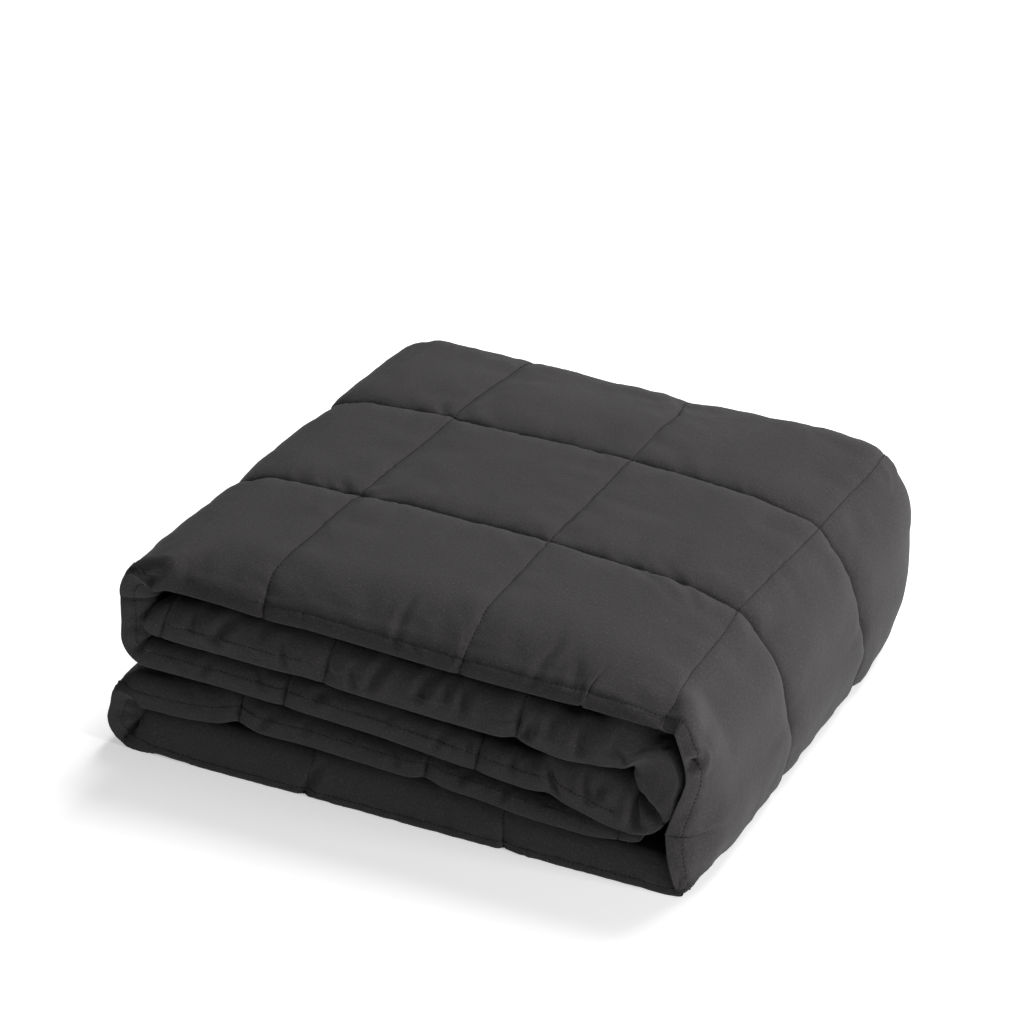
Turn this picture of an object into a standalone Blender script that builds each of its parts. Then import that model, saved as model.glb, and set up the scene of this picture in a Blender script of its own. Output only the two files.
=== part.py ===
"""A quilted weighted blanket, folded into a bundle of five layers.

The cloth is folded in four from front to back, which leaves a strip three quilting squares deep.
The strip is then folded back and forth. Seen from the front, its middle line starts at a free end
low on the right, runs left, turns under into the bottom layer, climbs the tall right hand wall into
the top layer, turns down at the upper left, runs right, and turns up and back to the other free end.

BENDS lists that line, one row for each bend or change of slope, and SEAMS the stitch lines across
it. middle_line() rounds the bends, Blanket.ring() thickens the line into one closed ring for each
station from front to back, and the rings are bridged into a single solid. The stitch lines are dips
in its thickness.

Metres, +Z up. The front, where the layers show, faces -Y. The origin is on the surface the bundle
lies on, under the middle of its bounding box.
"""

import math
from dataclasses import dataclass

import bmesh
import bpy
from mathutils import Matrix, Vector

# ---- the quilting ----
SQUARE_DEEP = 0.127          # from one stitch line to the next, front to back
SQUARES_DEEP = 3
DIP_REACH = 0.028            # how far from a stitch line the filling starts to thin
DIP_POWER = 2.2              # above 1, the dip narrows to a groove at the stitches
DIP_ACROSS = 0.0032          # depth of the lines that run front to back
DIP_ALONG = 0.0046           # depth of the lines that run along the strip
DIP_HEM = 0.0012             # depth of the stitching along the front edge

# ---- the edges of the cloth ----
HEM = 0.010                  # from the outermost stitching to the front edge

# ---- the bundle as a whole ----
FRONT_BLEND = 0.055          # depth over which the front edge's own shape fades
BACK_BLEND = 0.085           # the same for the back
FAR_NARROWING = 0.018        # share of the width lost at the back
LEFT_SIDE = 0.020            # the width narrows towards this x
FLOOR_SINK = 0.0006          # the filling is pressed flat this far at the floor

# ---- resolution ----
ARC_STEPS = 12               # steps in each rounded bend of the middle line
NORMAL_REACH = 0.002         # half the length of line that gives its direction at a place
BEND_STEP = math.radians(24) # a rounded bend keeps a ring point at least this often
ALONG_SQUARE = (0.0, 0.07, 0.24, 0.5, 0.76, 0.93)
DEEP_SQUARE = (0.0, 0.07, 0.28, 0.72, 0.93)
HEM_STEPS = (0.0, 0.18, 0.55)
BACK_STEPS = (0.55, 0.25, 0.07, 0.0)
END_STEPS = (0.0, 0.15, 0.5)

CLOTH_COLOUR = (0.058, 0.053, 0.056, 1.0)
CLOTH_ROUGHNESS = 0.9


@dataclass(frozen=True)
class Edge:
    """How one face rounds over at the front edge of the cloth."""

    share: float             # share of the face's height left at the very edge
    reach: float             # depth over which it rises to the full height


HEMMED = Edge(0.80, 0.012)   # the face that carries the turned-in hem
CREST = Edge(0.74, 0.026)    # a face that leans back under the layer above
TURNED = Edge(0.80, 0.016)   # the outside of the smaller folds
TOP = Edge(0.36, 0.052)      # the crowned upper face of the top layer
WALL = Edge(0.50, 0.046)     # the outside of the tall right hand wall
BACK_FOLD = Edge(0.30, 0.026)
FREE_END = Edge(0.40, 0.010)


@dataclass(frozen=True)
class Bend:
    """One bend of the middle line, at the middle of the bundle's depth."""

    place: str
    x: float
    z: float
    radius: float
    half: float              # half the cloth's thickness here
    outer: Edge              # the face outside the folds
    inner: Edge              # the face inside them
    front: tuple[float, float] = (0.0, 0.0)   # how far the front edge stands from this place
    back: tuple[float, float] = (0.0, 0.0)    # the same for the back fold


BENDS = (
    Bend("lower free end", 0.3770, 0.0350, 0.0, 0.0062, CREST, HEMMED),
    Bend("fourth layer, right", 0.3400, 0.0345, 0.10, 0.0074, CREST, HEMMED),
    Bend("fourth layer, third seam", 0.2700, 0.0400, 0.20, 0.0086, CREST, HEMMED),
    Bend("fourth layer, middle", 0.1500, 0.0475, 0.20, 0.0106, CREST, HEMMED),
    Bend("fourth layer, left", 0.0600, 0.0472, 0.10, 0.0124, CREST, HEMMED),
    Bend("lower left fold, top", 0.0135, 0.0468, 0.0135, 0.0095, TURNED, HEMMED),
    Bend("lower left fold, foot", 0.0128, 0.0115, 0.0130, 0.0108, TURNED, HEMMED),
    Bend("bottom layer, left", 0.0600, 0.0140, 0.05, 0.0146, HEMMED, CREST),
    Bend("bottom layer, middle", 0.2200, 0.0130, 0.05, 0.0136, HEMMED, CREST),
    Bend("bottom layer, right", 0.3500, 0.0108, 0.05, 0.0114, HEMMED, CREST),
    Bend("right wall, foot", 0.4120, 0.0104, 0.0120, 0.0102, WALL, HEMMED, (-0.005, 0.0), (-0.014, 0.0)),
    Bend("right wall, belly", 0.4170, 0.0400, 0.03, 0.0098, WALL, HEMMED, (-0.010, 0.0), (-0.008, 0.0)),
    Bend("right wall, upper", 0.4075, 0.0880, 0.03, 0.0092, WALL, HEMMED, (0.006, 0.002), (0.002, 0.004)),
    Bend("right shoulder", 0.3800, 0.1185, 0.020, 0.0100, WALL, HEMMED, (0.021, -0.002), (0.008, 0.002)),
    Bend("top layer, right", 0.3350, 0.1288, 0.10, 0.0105, TOP, HEMMED, (0.0, -0.0045), (0.0, -0.003)),
    Bend("top layer, middle", 0.2540, 0.1330, 0.30, 0.0124, TOP, HEMMED, (0.0, -0.0045), (0.0, -0.010)),
    Bend("top layer, first seam", 0.1500, 0.1358, 0.30, 0.0118, TOP, HEMMED, (0.0, -0.0028), (0.0, -0.008)),
    Bend("top layer, left", 0.0700, 0.1352, 0.10, 0.0110, TOP, HEMMED, (0.0, 0.0), (0.0, -0.005)),
    Bend("upper left fold, top", 0.0270, 0.1284, 0.0165, 0.0085, TURNED, HEMMED, (0.0, 0.0), (0.0, -0.003)),
    Bend("upper left fold, wall", 0.0245, 0.1000, 0.04, 0.0072, TURNED, HEMMED),
    Bend("upper left fold, foot", 0.0270, 0.0740, 0.0105, 0.0085, TURNED, HEMMED),
    Bend("third layer, left", 0.0800, 0.0745, 0.10, 0.0106, HEMMED, CREST),
    Bend("third layer, middle", 0.2000, 0.0688, 0.20, 0.0110, HEMMED, CREST),
    Bend("third layer, right", 0.3000, 0.0593, 0.20, 0.0117, HEMMED, CREST),
    Bend("third layer, dip", 0.3600, 0.0535, 0.06, 0.0112, HEMMED, CREST),
    Bend("inner right fold, foot", 0.3860, 0.0440, 0.0110, 0.0085, TURNED, HEMMED, (0.006, 0.0)),
    Bend("inner right fold, top", 0.3825, 0.0950, 0.0160, 0.0095, TURNED, HEMMED, (0.008, 0.001)),
    Bend("second layer, right", 0.3600, 0.0920, 0.06, 0.0152, CREST, HEMMED),
    Bend("second layer, middle", 0.2400, 0.0960, 0.20, 0.0158, CREST, HEMMED),
    Bend("second layer, first seam", 0.1400, 0.1010, 0.20, 0.0158, CREST, HEMMED),
    Bend("second layer, left", 0.0800, 0.1020, 0.10, 0.0152, CREST, HEMMED),
    Bend("upper free end", 0.0370, 0.1010, 0.0, 0.0130, CREST, HEMMED),
)


@dataclass(frozen=True)
class Seam:
    """One stitch line that runs from front to back."""

    place: str
    along: float             # distance along the strip from the lower free end


SEAMS = (
    Seam("lower end stitching", 0.016),
    Seam("fourth layer, right", 0.142),
    Seam("fourth layer, left", 0.275),
    Seam("lower left fold", 0.400),
    Seam("bottom layer, left", 0.524),
    Seam("bottom layer, right", 0.661),
    Seam("right wall, foot", 0.784),
    Seam("right shoulder", 0.908),
    Seam("top layer, right", 1.028),
    Seam("top layer, left", 1.167),
    Seam("upper left fold", 1.272),
    Seam("third layer, left", 1.417),
    Seam("third layer, right", 1.550),
    Seam("inner right fold", 1.666),
    Seam("second layer, right", 1.782),
    Seam("second layer, left", 1.914),
    Seam("upper end stitching", 2.033),
)


@dataclass(frozen=True)
class Stop:
    """One point of the middle line, with the cloth's build there."""

    spot: Vector
    half: float
    outer: Edge
    inner: Edge

    def towards(self, other, share):
        """The point a share of the way to another."""
        return Stop(
            self.spot.lerp(other.spot, share),
            blend(self.half, other.half, share),
            blend_edge(self.outer, other.outer, share),
            blend_edge(self.inner, other.inner, share),
        )


def blend(low, high, share):
    """A number a share of the way from one to another."""
    return low + (high - low) * share


def blend_edge(low, high, share):
    """An edge a share of the way from one to another."""
    return Edge(blend(low.share, high.share, share), blend(low.reach, high.reach, share))


def smooth(share):
    """An S-curve from 0 to 1."""
    share = min(1.0, max(0.0, share))
    return share * share * (3.0 - 2.0 * share)


def rounding(depth, edge):
    """Share of the height at a depth inside a rounded edge."""
    inside = min(1.0, max(0.0, depth / edge.reach))
    return edge.share + (1.0 - edge.share) * math.sqrt(1.0 - (1.0 - inside) ** 2)


def dip(distance, depth):
    """How much thinner the cloth is at a distance from a stitch line."""
    near = max(0.0, 1.0 - distance / DIP_REACH)
    return depth * near ** DIP_POWER


def middle_line(front=0.0, back=0.0):
    """The middle line with its bends rounded; front and back are 1 at those edges, else 0."""
    corners = [
        Vector((b.x, b.z)) + front * Vector(b.front) + back * Vector(b.back) for b in BENDS
    ]
    line = [Stop(corners[0], BENDS[0].half, BENDS[0].outer, BENDS[0].inner)]
    for index in range(1, len(BENDS) - 1):
        here, bend = corners[index], BENDS[index]
        into = (here - corners[index - 1]).normalized()
        out = (corners[index + 1] - here).normalized()
        turn = math.atan2(into.x * out.y - into.y * out.x, into.dot(out))
        cut = bend.radius * math.tan(abs(turn) / 2)
        side = Vector((-into.y, into.x)) * math.copysign(1.0, turn)
        centre = here - into * cut + side * bend.radius
        arm = -side * bend.radius
        for step in range(ARC_STEPS + 1):
            spin = Matrix.Rotation(turn * step / ARC_STEPS, 2)
            line.append(Stop(centre + spin @ arm, bend.half, bend.outer, bend.inner))
    line.append(Stop(corners[-1], BENDS[-1].half, BENDS[-1].outer, BENDS[-1].inner))
    return line


def lengths(line):
    """Distance along the line to each of its points."""
    total = [0.0]
    for before, after in zip(line, line[1:]):
        total.append(total[-1] + (after.spot - before.spot).length)
    return total


class Blanket:
    """Thickens the folded line into rings and bridges them."""

    def __init__(self):
        self.line = middle_line()
        self.along = lengths(self.line)
        self.length = self.along[-1]
        self.back = SQUARE_DEEP * SQUARES_DEEP
        self.places = self.ring_places()
        self.stations = self.depth_stations()

    def ring_places(self):
        """Distances along the strip that get a ring point."""
        low, high = SEAMS[0].along, SEAMS[-1].along
        marks = {share * low for share in END_STEPS}
        marks |= {self.length - share * (self.length - high) for share in END_STEPS}
        for start, end in zip(SEAMS, SEAMS[1:]):
            marks |= {blend(start.along, end.along, share) for share in ALONG_SQUARE}
        marks.add(high)
        places = sorted(marks)
        for index in range(1, len(BENDS) - 1):
            first = 1 + (index - 1) * (ARC_STEPS + 1)
            last = first + ARC_STEPS
            steps = math.ceil(self.turn_between(first, last) / BEND_STEP)
            if steps < 2:
                continue
            start, end = self.along[first], self.along[last]
            clear = 0.5 * (end - start) / steps
            places = [p for p in places if not start - clear < p < end + clear]
            places += [start + (end - start) * step / steps for step in range(steps + 1)]
        return sorted(places)

    def turn_between(self, first, last):
        """Angle that the line turns through between two of its points."""
        into = self.line[first].spot - self.line[first - 1].spot
        out = self.line[last + 1].spot - self.line[last].spot
        return into.angle(out)

    def depth_stations(self):
        """Places from the front edge to the back edge that get a ring."""
        hem = [-HEM * (1.0 - share) for share in HEM_STEPS]
        squares = [
            (square + share) * SQUARE_DEEP for square in range(SQUARES_DEEP) for share in DEEP_SQUARE
        ]
        fold = [self.back - share * BACK_FOLD.reach for share in BACK_STEPS]
        return hem + [place for place in squares if place < fold[0]] + fold

    def stop(self, line, place):
        """The point at a distance along the strip, on this station's own line."""
        index = next((i for i, far in enumerate(self.along) if far > place), len(self.along) - 1)
        before, after = self.along[index - 1], self.along[index]
        return line[index - 1].towards(line[index], (place - before) / (after - before))

    def normal(self, line, place):
        """Unit normal of the line at a place, towards the inside of its folds."""
        before = self.stop(line, max(0.0, place - NORMAL_REACH)).spot
        after = self.stop(line, min(self.length, place + NORMAL_REACH)).spot
        heading = (after - before).normalized()
        return Vector((-heading.y, heading.x))

    def dips(self, place, station):
        """How much thinner each face is for the stitch lines nearby."""
        row = min(SQUARES_DEEP - 1, max(0, round(station / SQUARE_DEEP)))
        across = dip(min(abs(place - seam.along) for seam in SEAMS), DIP_ACROSS)
        along = dip(abs(station - row * SQUARE_DEEP), DIP_ALONG if row else DIP_HEM)
        return math.hypot(across, along)

    def ring(self, station):
        """The closed ring of points at one station."""
        front, back = station + HEM, self.back - station
        rear = 1.0 - smooth(back / BACK_BLEND)
        line = middle_line(1.0 - smooth(front / FRONT_BLEND), rear)
        narrow = 1.0 - FAR_NARROWING * rear ** 2
        fold = rounding(back, BACK_FOLD)
        inner, outer = [], []
        for place in self.places:
            stop = self.stop(line, place)
            normal = self.normal(line, place)
            end = rounding(min(place, self.length - place), FREE_END)
            height = (stop.half - self.dips(place, station)) * end
            for side, edge, points in ((1.0, stop.inner, inner), (-1.0, stop.outer, outer)):
                share = min(rounding(front, edge), fold)
                point = stop.spot + normal * side * share * height
                x = LEFT_SIDE + (point.x - LEFT_SIDE) * narrow
                points.append(Vector((x, station, max(0.0, point.y - FLOOR_SINK))))
        return inner + outer[::-1]

    def mesh(self):
        """The whole solid, standing over the origin."""
        rings = [self.ring(station) for station in self.stations]
        points = [point for ring in rings for point in ring]
        low = Vector(tuple(min(p[axis] for p in points) for axis in range(3)))
        high = Vector(tuple(max(p[axis] for p in points) for axis in range(3)))
        middle = Vector(((low.x + high.x) / 2, (low.y + high.y) / 2, low.z))
        solid = bmesh.new()
        grid = [[solid.verts.new(point - middle) for point in ring] for ring in rings]
        count = len(grid[0])
        for near, far in zip(grid, grid[1:]):
            for i in range(count):
                j = (i + 1) % count
                solid.faces.new((near[i], near[j], far[j], far[i]))
        for ring in (grid[0], grid[-1]):
            for i in range(count // 2 - 1):
                solid.faces.new((ring[i], ring[i + 1], ring[count - 2 - i], ring[count - 1 - i]))
        bmesh.ops.recalc_face_normals(solid, faces=solid.faces[:])
        mesh = bpy.data.meshes.new("blanket")
        solid.to_mesh(mesh)
        solid.free()
        mesh.shade_smooth()
        return mesh


def cloth():
    """Charcoal woven cotton."""
    material = bpy.data.materials.new("charcoal cotton")
    material.use_nodes = True
    shader = material.node_tree.nodes["Principled BSDF"]
    shader.inputs["Base Color"].default_value = CLOTH_COLOUR
    shader.inputs["Roughness"].default_value = CLOTH_ROUGHNESS
    shader.inputs["Metallic"].default_value = 0.0
    material.diffuse_color = CLOTH_COLOUR
    return material


def main():
    for thing in list(bpy.data.objects):
        bpy.data.objects.remove(thing, do_unlink=True)
    mesh = Blanket().mesh()
    mesh.materials.append(cloth())
    blanket = bpy.data.objects.new("blanket", mesh)
    bpy.context.scene.collection.objects.link(blanket)


main()
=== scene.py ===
"""A quilted weighted blanket, folded into a bundle of five layers, dressed for its portrait.

The blanket is one padded piece. FoldedStrip holds the line that the cloth follows through its folds,
Quilting the stitch lines and the relief between them, and Drift how those lines stray. CottonSheet
blows up a flat sheet for its wrinkles. Blanket wraps the two faces of the cloth round the line,
Stitching lays the thread in the stitch lines, and Studio holds the floor, the lights and the camera.

Metres, +Z up, the front towards -Y. The tables of bends and seams are in the drawing's own
coordinates, whose origin is at the front left foot of the bundle; DRAWING_MIDDLE takes them to the
frame's origin, under the middle of the bundle.
"""

from __future__ import annotations

import logging
import math
from dataclasses import dataclass, field
from enum import Enum

import bpy
import numpy as np
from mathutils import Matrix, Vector


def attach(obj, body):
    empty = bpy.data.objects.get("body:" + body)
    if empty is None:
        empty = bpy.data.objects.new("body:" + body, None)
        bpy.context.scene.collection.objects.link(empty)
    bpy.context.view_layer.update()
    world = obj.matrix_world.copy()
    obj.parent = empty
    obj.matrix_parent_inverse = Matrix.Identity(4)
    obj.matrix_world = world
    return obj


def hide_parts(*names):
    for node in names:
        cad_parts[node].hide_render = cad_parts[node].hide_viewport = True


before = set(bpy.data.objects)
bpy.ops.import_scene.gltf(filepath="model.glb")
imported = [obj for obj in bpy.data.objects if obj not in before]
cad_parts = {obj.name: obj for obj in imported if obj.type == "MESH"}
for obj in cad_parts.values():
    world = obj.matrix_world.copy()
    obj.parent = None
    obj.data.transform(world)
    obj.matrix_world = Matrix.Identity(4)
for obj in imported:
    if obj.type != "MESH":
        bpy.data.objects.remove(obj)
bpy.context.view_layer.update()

LOG = logging.getLogger("blanket")

DRAWING_MIDDLE = (0.2144, 0.1855)    # the frame's origin, in the drawing's x and y

# ---- the cloth ----
SQUARE_DEEP = 0.127                  # from one stitch line to the next, front to back
DEPTH = 3 * SQUARE_DEEP              # from the hem's stitching to the fold at the back
HEM = 0.010                          # from the hem's stitching to its edge
ROWS = (SQUARE_DEEP, 2 * SQUARE_DEEP)

# ---- the bundle ----
FRONT_BLEND = 0.055                  # depth over which the front edge's own shape fades
BACK_BLEND = 0.085                   # the same for the back
FAR_NARROWING = 0.018                # share of the width lost at the back
LEFT_SIDE = 0.020                    # the width narrows towards this x
FLOOR_SINK = 0.0006                  # the filling is pressed flat this far at the floor
BACK_ROUND = 0.026                   # depth of the rounded fold at the back
END_ROUND = 0.009                    # length over which the free ends round over
END_SHARE = 0.28                     # share of the thickness left at a free end
EVERY_RING = 1e3                     # steps counted where every ring goes on to the back

# ---- random relief ----
LINE_VALUES = 4096                   # random values on a line before they repeat
SHEET_VALUES = 512                   # the same along each side of a surface
LINE_START = 64.0                    # the value that place 0 of a line falls on
SHEET_START = 16.0                   # the same for a surface
TWIN_APART = 0.7                     # keeps the inner face's values away from the outer face's
ROW_APART = 3.1                      # keeps one row's values away from the next row's
SEAM_APART = 0.71                    # the same for the seams

# ---- the UV map, in metres over the cloth ----
BACK_ARC = 0.004                     # from a face's last point to the very back
BAND_APART = 2.0                     # moves the inner face's front stretch to its own part of the map


@dataclass(frozen=True)
class Edge:
    """How the cloth ends at its front edge.

    Attributes:
        outer: depth over which the face outside the folds rises to its full height.
        inner: the same for the face inside them.
        nose: where the hem's edge lies, from -1 at the outer face to 1 at the inner one.
        tuck: how far the hem's edge is tucked back under the face inside the folds.
        sewn: how deep the hem's stitching lies, as a share of the full groove, or less than 0 where
            it is hidden.
        flat: share of its curve that the hem has lost.
    """

    outer: float
    inner: float
    nose: float
    tuck: float = 0.0
    sewn: float = 1.0
    flat: float = 0.0


TOP = Edge(0.050, 0.009, 0.85, flat=0.30)
TOP_START = Edge(0.050, 0.009, 0.85, sewn=-1.0, flat=0.30)
UPPER = Edge(0.014, 0.009, 0.80, sewn=0.14)
UPPER_ROLLED = Edge(0.014, 0.009, 0.80, sewn=-0.1)
LOWER = Edge(0.009, 0.013, -0.80, sewn=0.14)
FLOOR = Edge(0.003, 0.010, -0.92, 0.0048, 0.15)
FOLD = Edge(0.010, 0.006, 0.88, flat=0.4)
ROLLED = Edge(0.010, 0.006, 0.88, sewn=-0.5, flat=0.4)
POUCH = Edge(0.005, 0.014, -0.85, sewn=0.14)
LOBE = Edge(0.005, 0.014, -0.85, sewn=0.0)
WALL = Edge(0.034, 0.006, 0.92, flat=0.85)


@dataclass(frozen=True)
class Bend:
    """One bend of the strip's middle line, at the middle of the bundle's depth.

    Attributes:
        place: where it is.
        x: its place across the bundle.
        z: its height.
        radius: how far it is rounded.
        half: half the cloth's thickness here.
        edge: how the front edge ends.
        front: how far the front edge stands from this place, across and up.
        back: the same for the back fold.
        inside: how much further the inner face reaches at the front edge.
        crisp: share of the radius lost at the front edge.
        outside: how much further the outer face reaches at the front edge.
        after: how the front edge ends past the middle of the bend, where that differs.
    """

    place: str
    x: float
    z: float
    radius: float
    half: float
    edge: Edge
    front: tuple[float, float] = (0.0, 0.0)
    back: tuple[float, float] = (0.0, 0.0)
    inside: float = 0.0
    crisp: float = 0.0
    outside: float = 0.0
    after: Edge | None = None


BENDS = (
    Bend("lower free end", 0.3785, 0.0362, 0.0, 0.0052, UPPER, (0.001, 0.0)),
    Bend("fourth layer, right", 0.3400, 0.0348, 0.10, 0.0076, UPPER, (0.0, -0.001)),
    Bend("fourth layer, third seam", 0.2700, 0.0400, 0.20, 0.0086, UPPER),
    Bend("fourth layer, middle", 0.1500, 0.0475, 0.20, 0.0106, UPPER),
    Bend("fourth layer, left", 0.0600, 0.0472, 0.10, 0.0124, UPPER),
    Bend(
        "lower left fold, top", 0.0150, 0.0468, 0.0145, 0.0095, FOLD, (0.0006, 0.0), inside=0.0050,
        after=POUCH),
    Bend(
        "lower left fold, foot", 0.0132, 0.0110, 0.0088, 0.0105, POUCH, (0.0020, -0.0010), inside=0.0035,
        outside=0.0030),
    Bend("bottom layer, start", 0.0400, 0.0135, 0.05, 0.0125, FLOOR, inside=0.0060),
    Bend("bottom layer, left", 0.0700, 0.0140, 0.05, 0.0146, FLOOR, inside=0.0048),
    Bend("bottom layer, middle", 0.2200, 0.0130, 0.05, 0.0136, FLOOR, inside=0.0064),
    Bend("bottom layer, right", 0.3500, 0.0112, 0.05, 0.0118, FLOOR, inside=0.0026),
    Bend("bottom layer, end", 0.3850, 0.0100, 0.02, 0.0104, FLOOR, inside=0.0050),
    Bend(
        "right wall, foot", 0.4088, 0.0090, 0.0065, 0.0088, FLOOR, (-0.0010, -0.0062), (-0.010, 0.0),
        inside=-0.0020, crisp=0.85, outside=-0.0060, after=WALL),
    Bend(
        "right wall, rise", 0.4120, 0.0260, 0.02, 0.0096, WALL, (-0.0034, 0.0), (-0.009, 0.0),
        inside=0.0036),
    Bend(
        "right wall, belly", 0.4155, 0.0420, 0.05, 0.0098, WALL, (-0.0056, 0.0), (-0.007, 0.0),
        inside=0.0068),
    Bend(
        "right wall, upper", 0.4075, 0.0880, 0.05, 0.0092, WALL, (0.0055, 0.001), (0.002, 0.004),
        inside=-0.0035),
    Bend(
        "right shoulder", 0.3820, 0.1175, 0.022, 0.0100, WALL, (0.0215, 0.0020), (0.008, 0.003),
        inside=-0.0030, crisp=0.7, after=TOP),
    Bend("top layer, right", 0.3400, 0.1285, 0.12, 0.0105, TOP, (0.0, -0.0035), (0.0, -0.003)),
    Bend("top layer, middle", 0.2540, 0.1330, 0.30, 0.0124, TOP, (0.0, -0.0045), (0.0, -0.010)),
    Bend("top layer, first seam", 0.1500, 0.1358, 0.30, 0.0118, TOP, (0.0, -0.0028), (0.0, -0.008)),
    Bend("top layer, left", 0.0700, 0.1352, 0.10, 0.0110, TOP_START, (0.0, 0.0), (0.0, -0.005)),
    Bend("top layer, end", 0.0530, 0.1348, 0.0300, 0.0108, ROLLED, (0.0, 0.0005), (0.0, -0.003)),
    Bend(
        "upper left fold, corner", 0.0350, 0.1310, 0.0180, 0.0098, FOLD, back=(0.0, -0.003), inside=0.0025,
        after=POUCH),
    Bend("upper left fold, top", 0.0265, 0.1190, 0.0170, 0.0088, POUCH, (0.0, 0.0), (0.0, -0.002), 0.0060),
    Bend("upper left fold, wall", 0.0255, 0.1000, 0.04, 0.0074, POUCH, inside=0.0045),
    Bend("upper left fold, foot", 0.0275, 0.0752, 0.0105, 0.0085, POUCH, inside=0.0020, outside=0.0015),
    Bend("third layer, start", 0.0450, 0.0742, 0.05, 0.0100, LOWER),
    Bend("third layer, left", 0.0900, 0.0742, 0.10, 0.0106, LOWER),
    Bend("third layer, middle", 0.2000, 0.0688, 0.20, 0.0110, LOWER),
    Bend("third layer, right", 0.3000, 0.0593, 0.20, 0.0117, LOWER),
    Bend("third layer, dip", 0.3550, 0.0590, 0.05, 0.0170, LOWER, (0.0, -0.001), inside=0.0025),
    Bend(
        "inner right fold, foot", 0.3862, 0.0510, 0.0185, 0.0130, LOBE, (0.001, -0.002), inside=0.0040,
        outside=0.0020),
    Bend(
        "inner right fold, top", 0.3815, 0.0922, 0.0185, 0.0145, LOBE, (0.0008, 0.0030), inside=0.0025,
        outside=0.0060, after=UPPER_ROLLED),
    Bend("second layer, right", 0.3480, 0.0925, 0.04, 0.0155, UPPER_ROLLED),
    Bend("second layer, middle", 0.2400, 0.0960, 0.20, 0.0158, UPPER_ROLLED),
    Bend("second layer, first seam", 0.1400, 0.1010, 0.20, 0.0158, UPPER),
    Bend("second layer, left", 0.0800, 0.1020, 0.10, 0.0152, UPPER),
    Bend("upper free end", 0.0370, 0.1010, 0.0, 0.0130, UPPER, (-0.002, 0.0)),
)


@dataclass(frozen=True)
class Seam:
    """One stitch line that runs from front to back.

    Attributes:
        place: where it is.
        along: distance along the strip from the lower free end.
        pinch: how much deeper it lies at the front edge.
        lean: how far it strays along the strip on its way up the front face.
        bow: how far it stands off its line at the first and the second row.
        hem: how far it does at the hem.
    """

    place: str
    along: float
    pinch: float = 0.0010
    lean: float = 0.0
    bow: tuple[float, float] = (0.0, 0.0)
    hem: float = 0.0


SEAMS = (
    Seam("lower end stitching", 0.016),
    Seam("fourth layer, right", 0.144, 0.0034),
    Seam("fourth layer, left", 0.277, 0.0042),
    Seam("lower left fold", 0.3927, 0.0004),
    Seam("bottom layer, left", 0.5259, 0.0006, 0.007),
    Seam("bottom layer, right", 0.6629, 0.0014, -0.002),
    Seam("right wall, foot", 0.782, 0.0004),
    Seam("right shoulder", 0.899, 0.0044, 0.0, (0.003, 0.0), 0.0128),
    Seam("top layer, right", 1.0248, 0.0006, 0.0, (0.006, 0.007), -0.0022),
    Seam("top layer, left", 1.1663, 0.0014, 0.004, (0.0005, -0.0045), -0.0012),
    Seam("upper left fold", 1.271, 0.0004),
    Seam("third layer, left", 1.4124, 0.0034),
    Seam("third layer, right", 1.5454, 0.0034),
    Seam("inner right fold", 1.662, 0.0020),
    Seam("second layer, right", 1.7726, 0.0046, -0.002),
    Seam("second layer, left", 1.9046, 0.0036, -0.004),
    Seam("upper end stitching", 2.0231, 0.0010),
)
SEAM_PLACES = np.array([seam.along for seam in SEAMS])


def seam_along(place: str) -> float:
    """The distance along the strip of a seam, by its name."""
    return next(seam.along for seam in SEAMS if seam.place == place)


class Face(Enum):
    """The two faces of the cloth; the value is the sign of the line's normal."""

    OUTER = -1.0
    INNER = 1.0


@dataclass(frozen=True)
class Run:
    """A stretch of the strip that shows at the front.

    Attributes:
        face: the face that shows.
        start: the distance along the strip at x = 0, or at z = 0 on the wall.
        sign: 1 where the distance grows with x or z.
    """

    face: Face
    start: float
    sign: float

    def along(self, place: float) -> float:
        """The distance along the strip at a place across the bundle, or up the wall."""
        return self.start + self.sign * place


TOP_LAYER = Run(Face.OUTER, 1.2841, -1.0)
SECOND_LAYER = Run(Face.OUTER, 2.0711, -1.0)
THIRD_LAYER = Run(Face.INNER, 1.2771, 1.0)
FOURTH_LAYER = Run(Face.OUTER, 0.3790, -1.0)
BOTTOM_LAYER = Run(Face.INNER, 0.3760, 1.0)
RIGHT_WALL = Run(Face.OUTER, 0.7751, 1.0)
STRIP = Run(Face.OUTER, 0.0, 1.0)
STRIP_INSIDE = Run(Face.INNER, 0.0, 1.0)


@dataclass(frozen=True)
class Crease:
    """One crease, given in a list.

    Attributes:
        run: the stretch it lies on.
        route: its points, each a place on the run and a distance over the cloth from the hem's edge.
        depth: how deep it is.
        width: how wide its trough is.
    """

    run: Run
    route: tuple[tuple[float, float], ...]
    depth: float = 0.0016
    width: float = 0.0028


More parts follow.
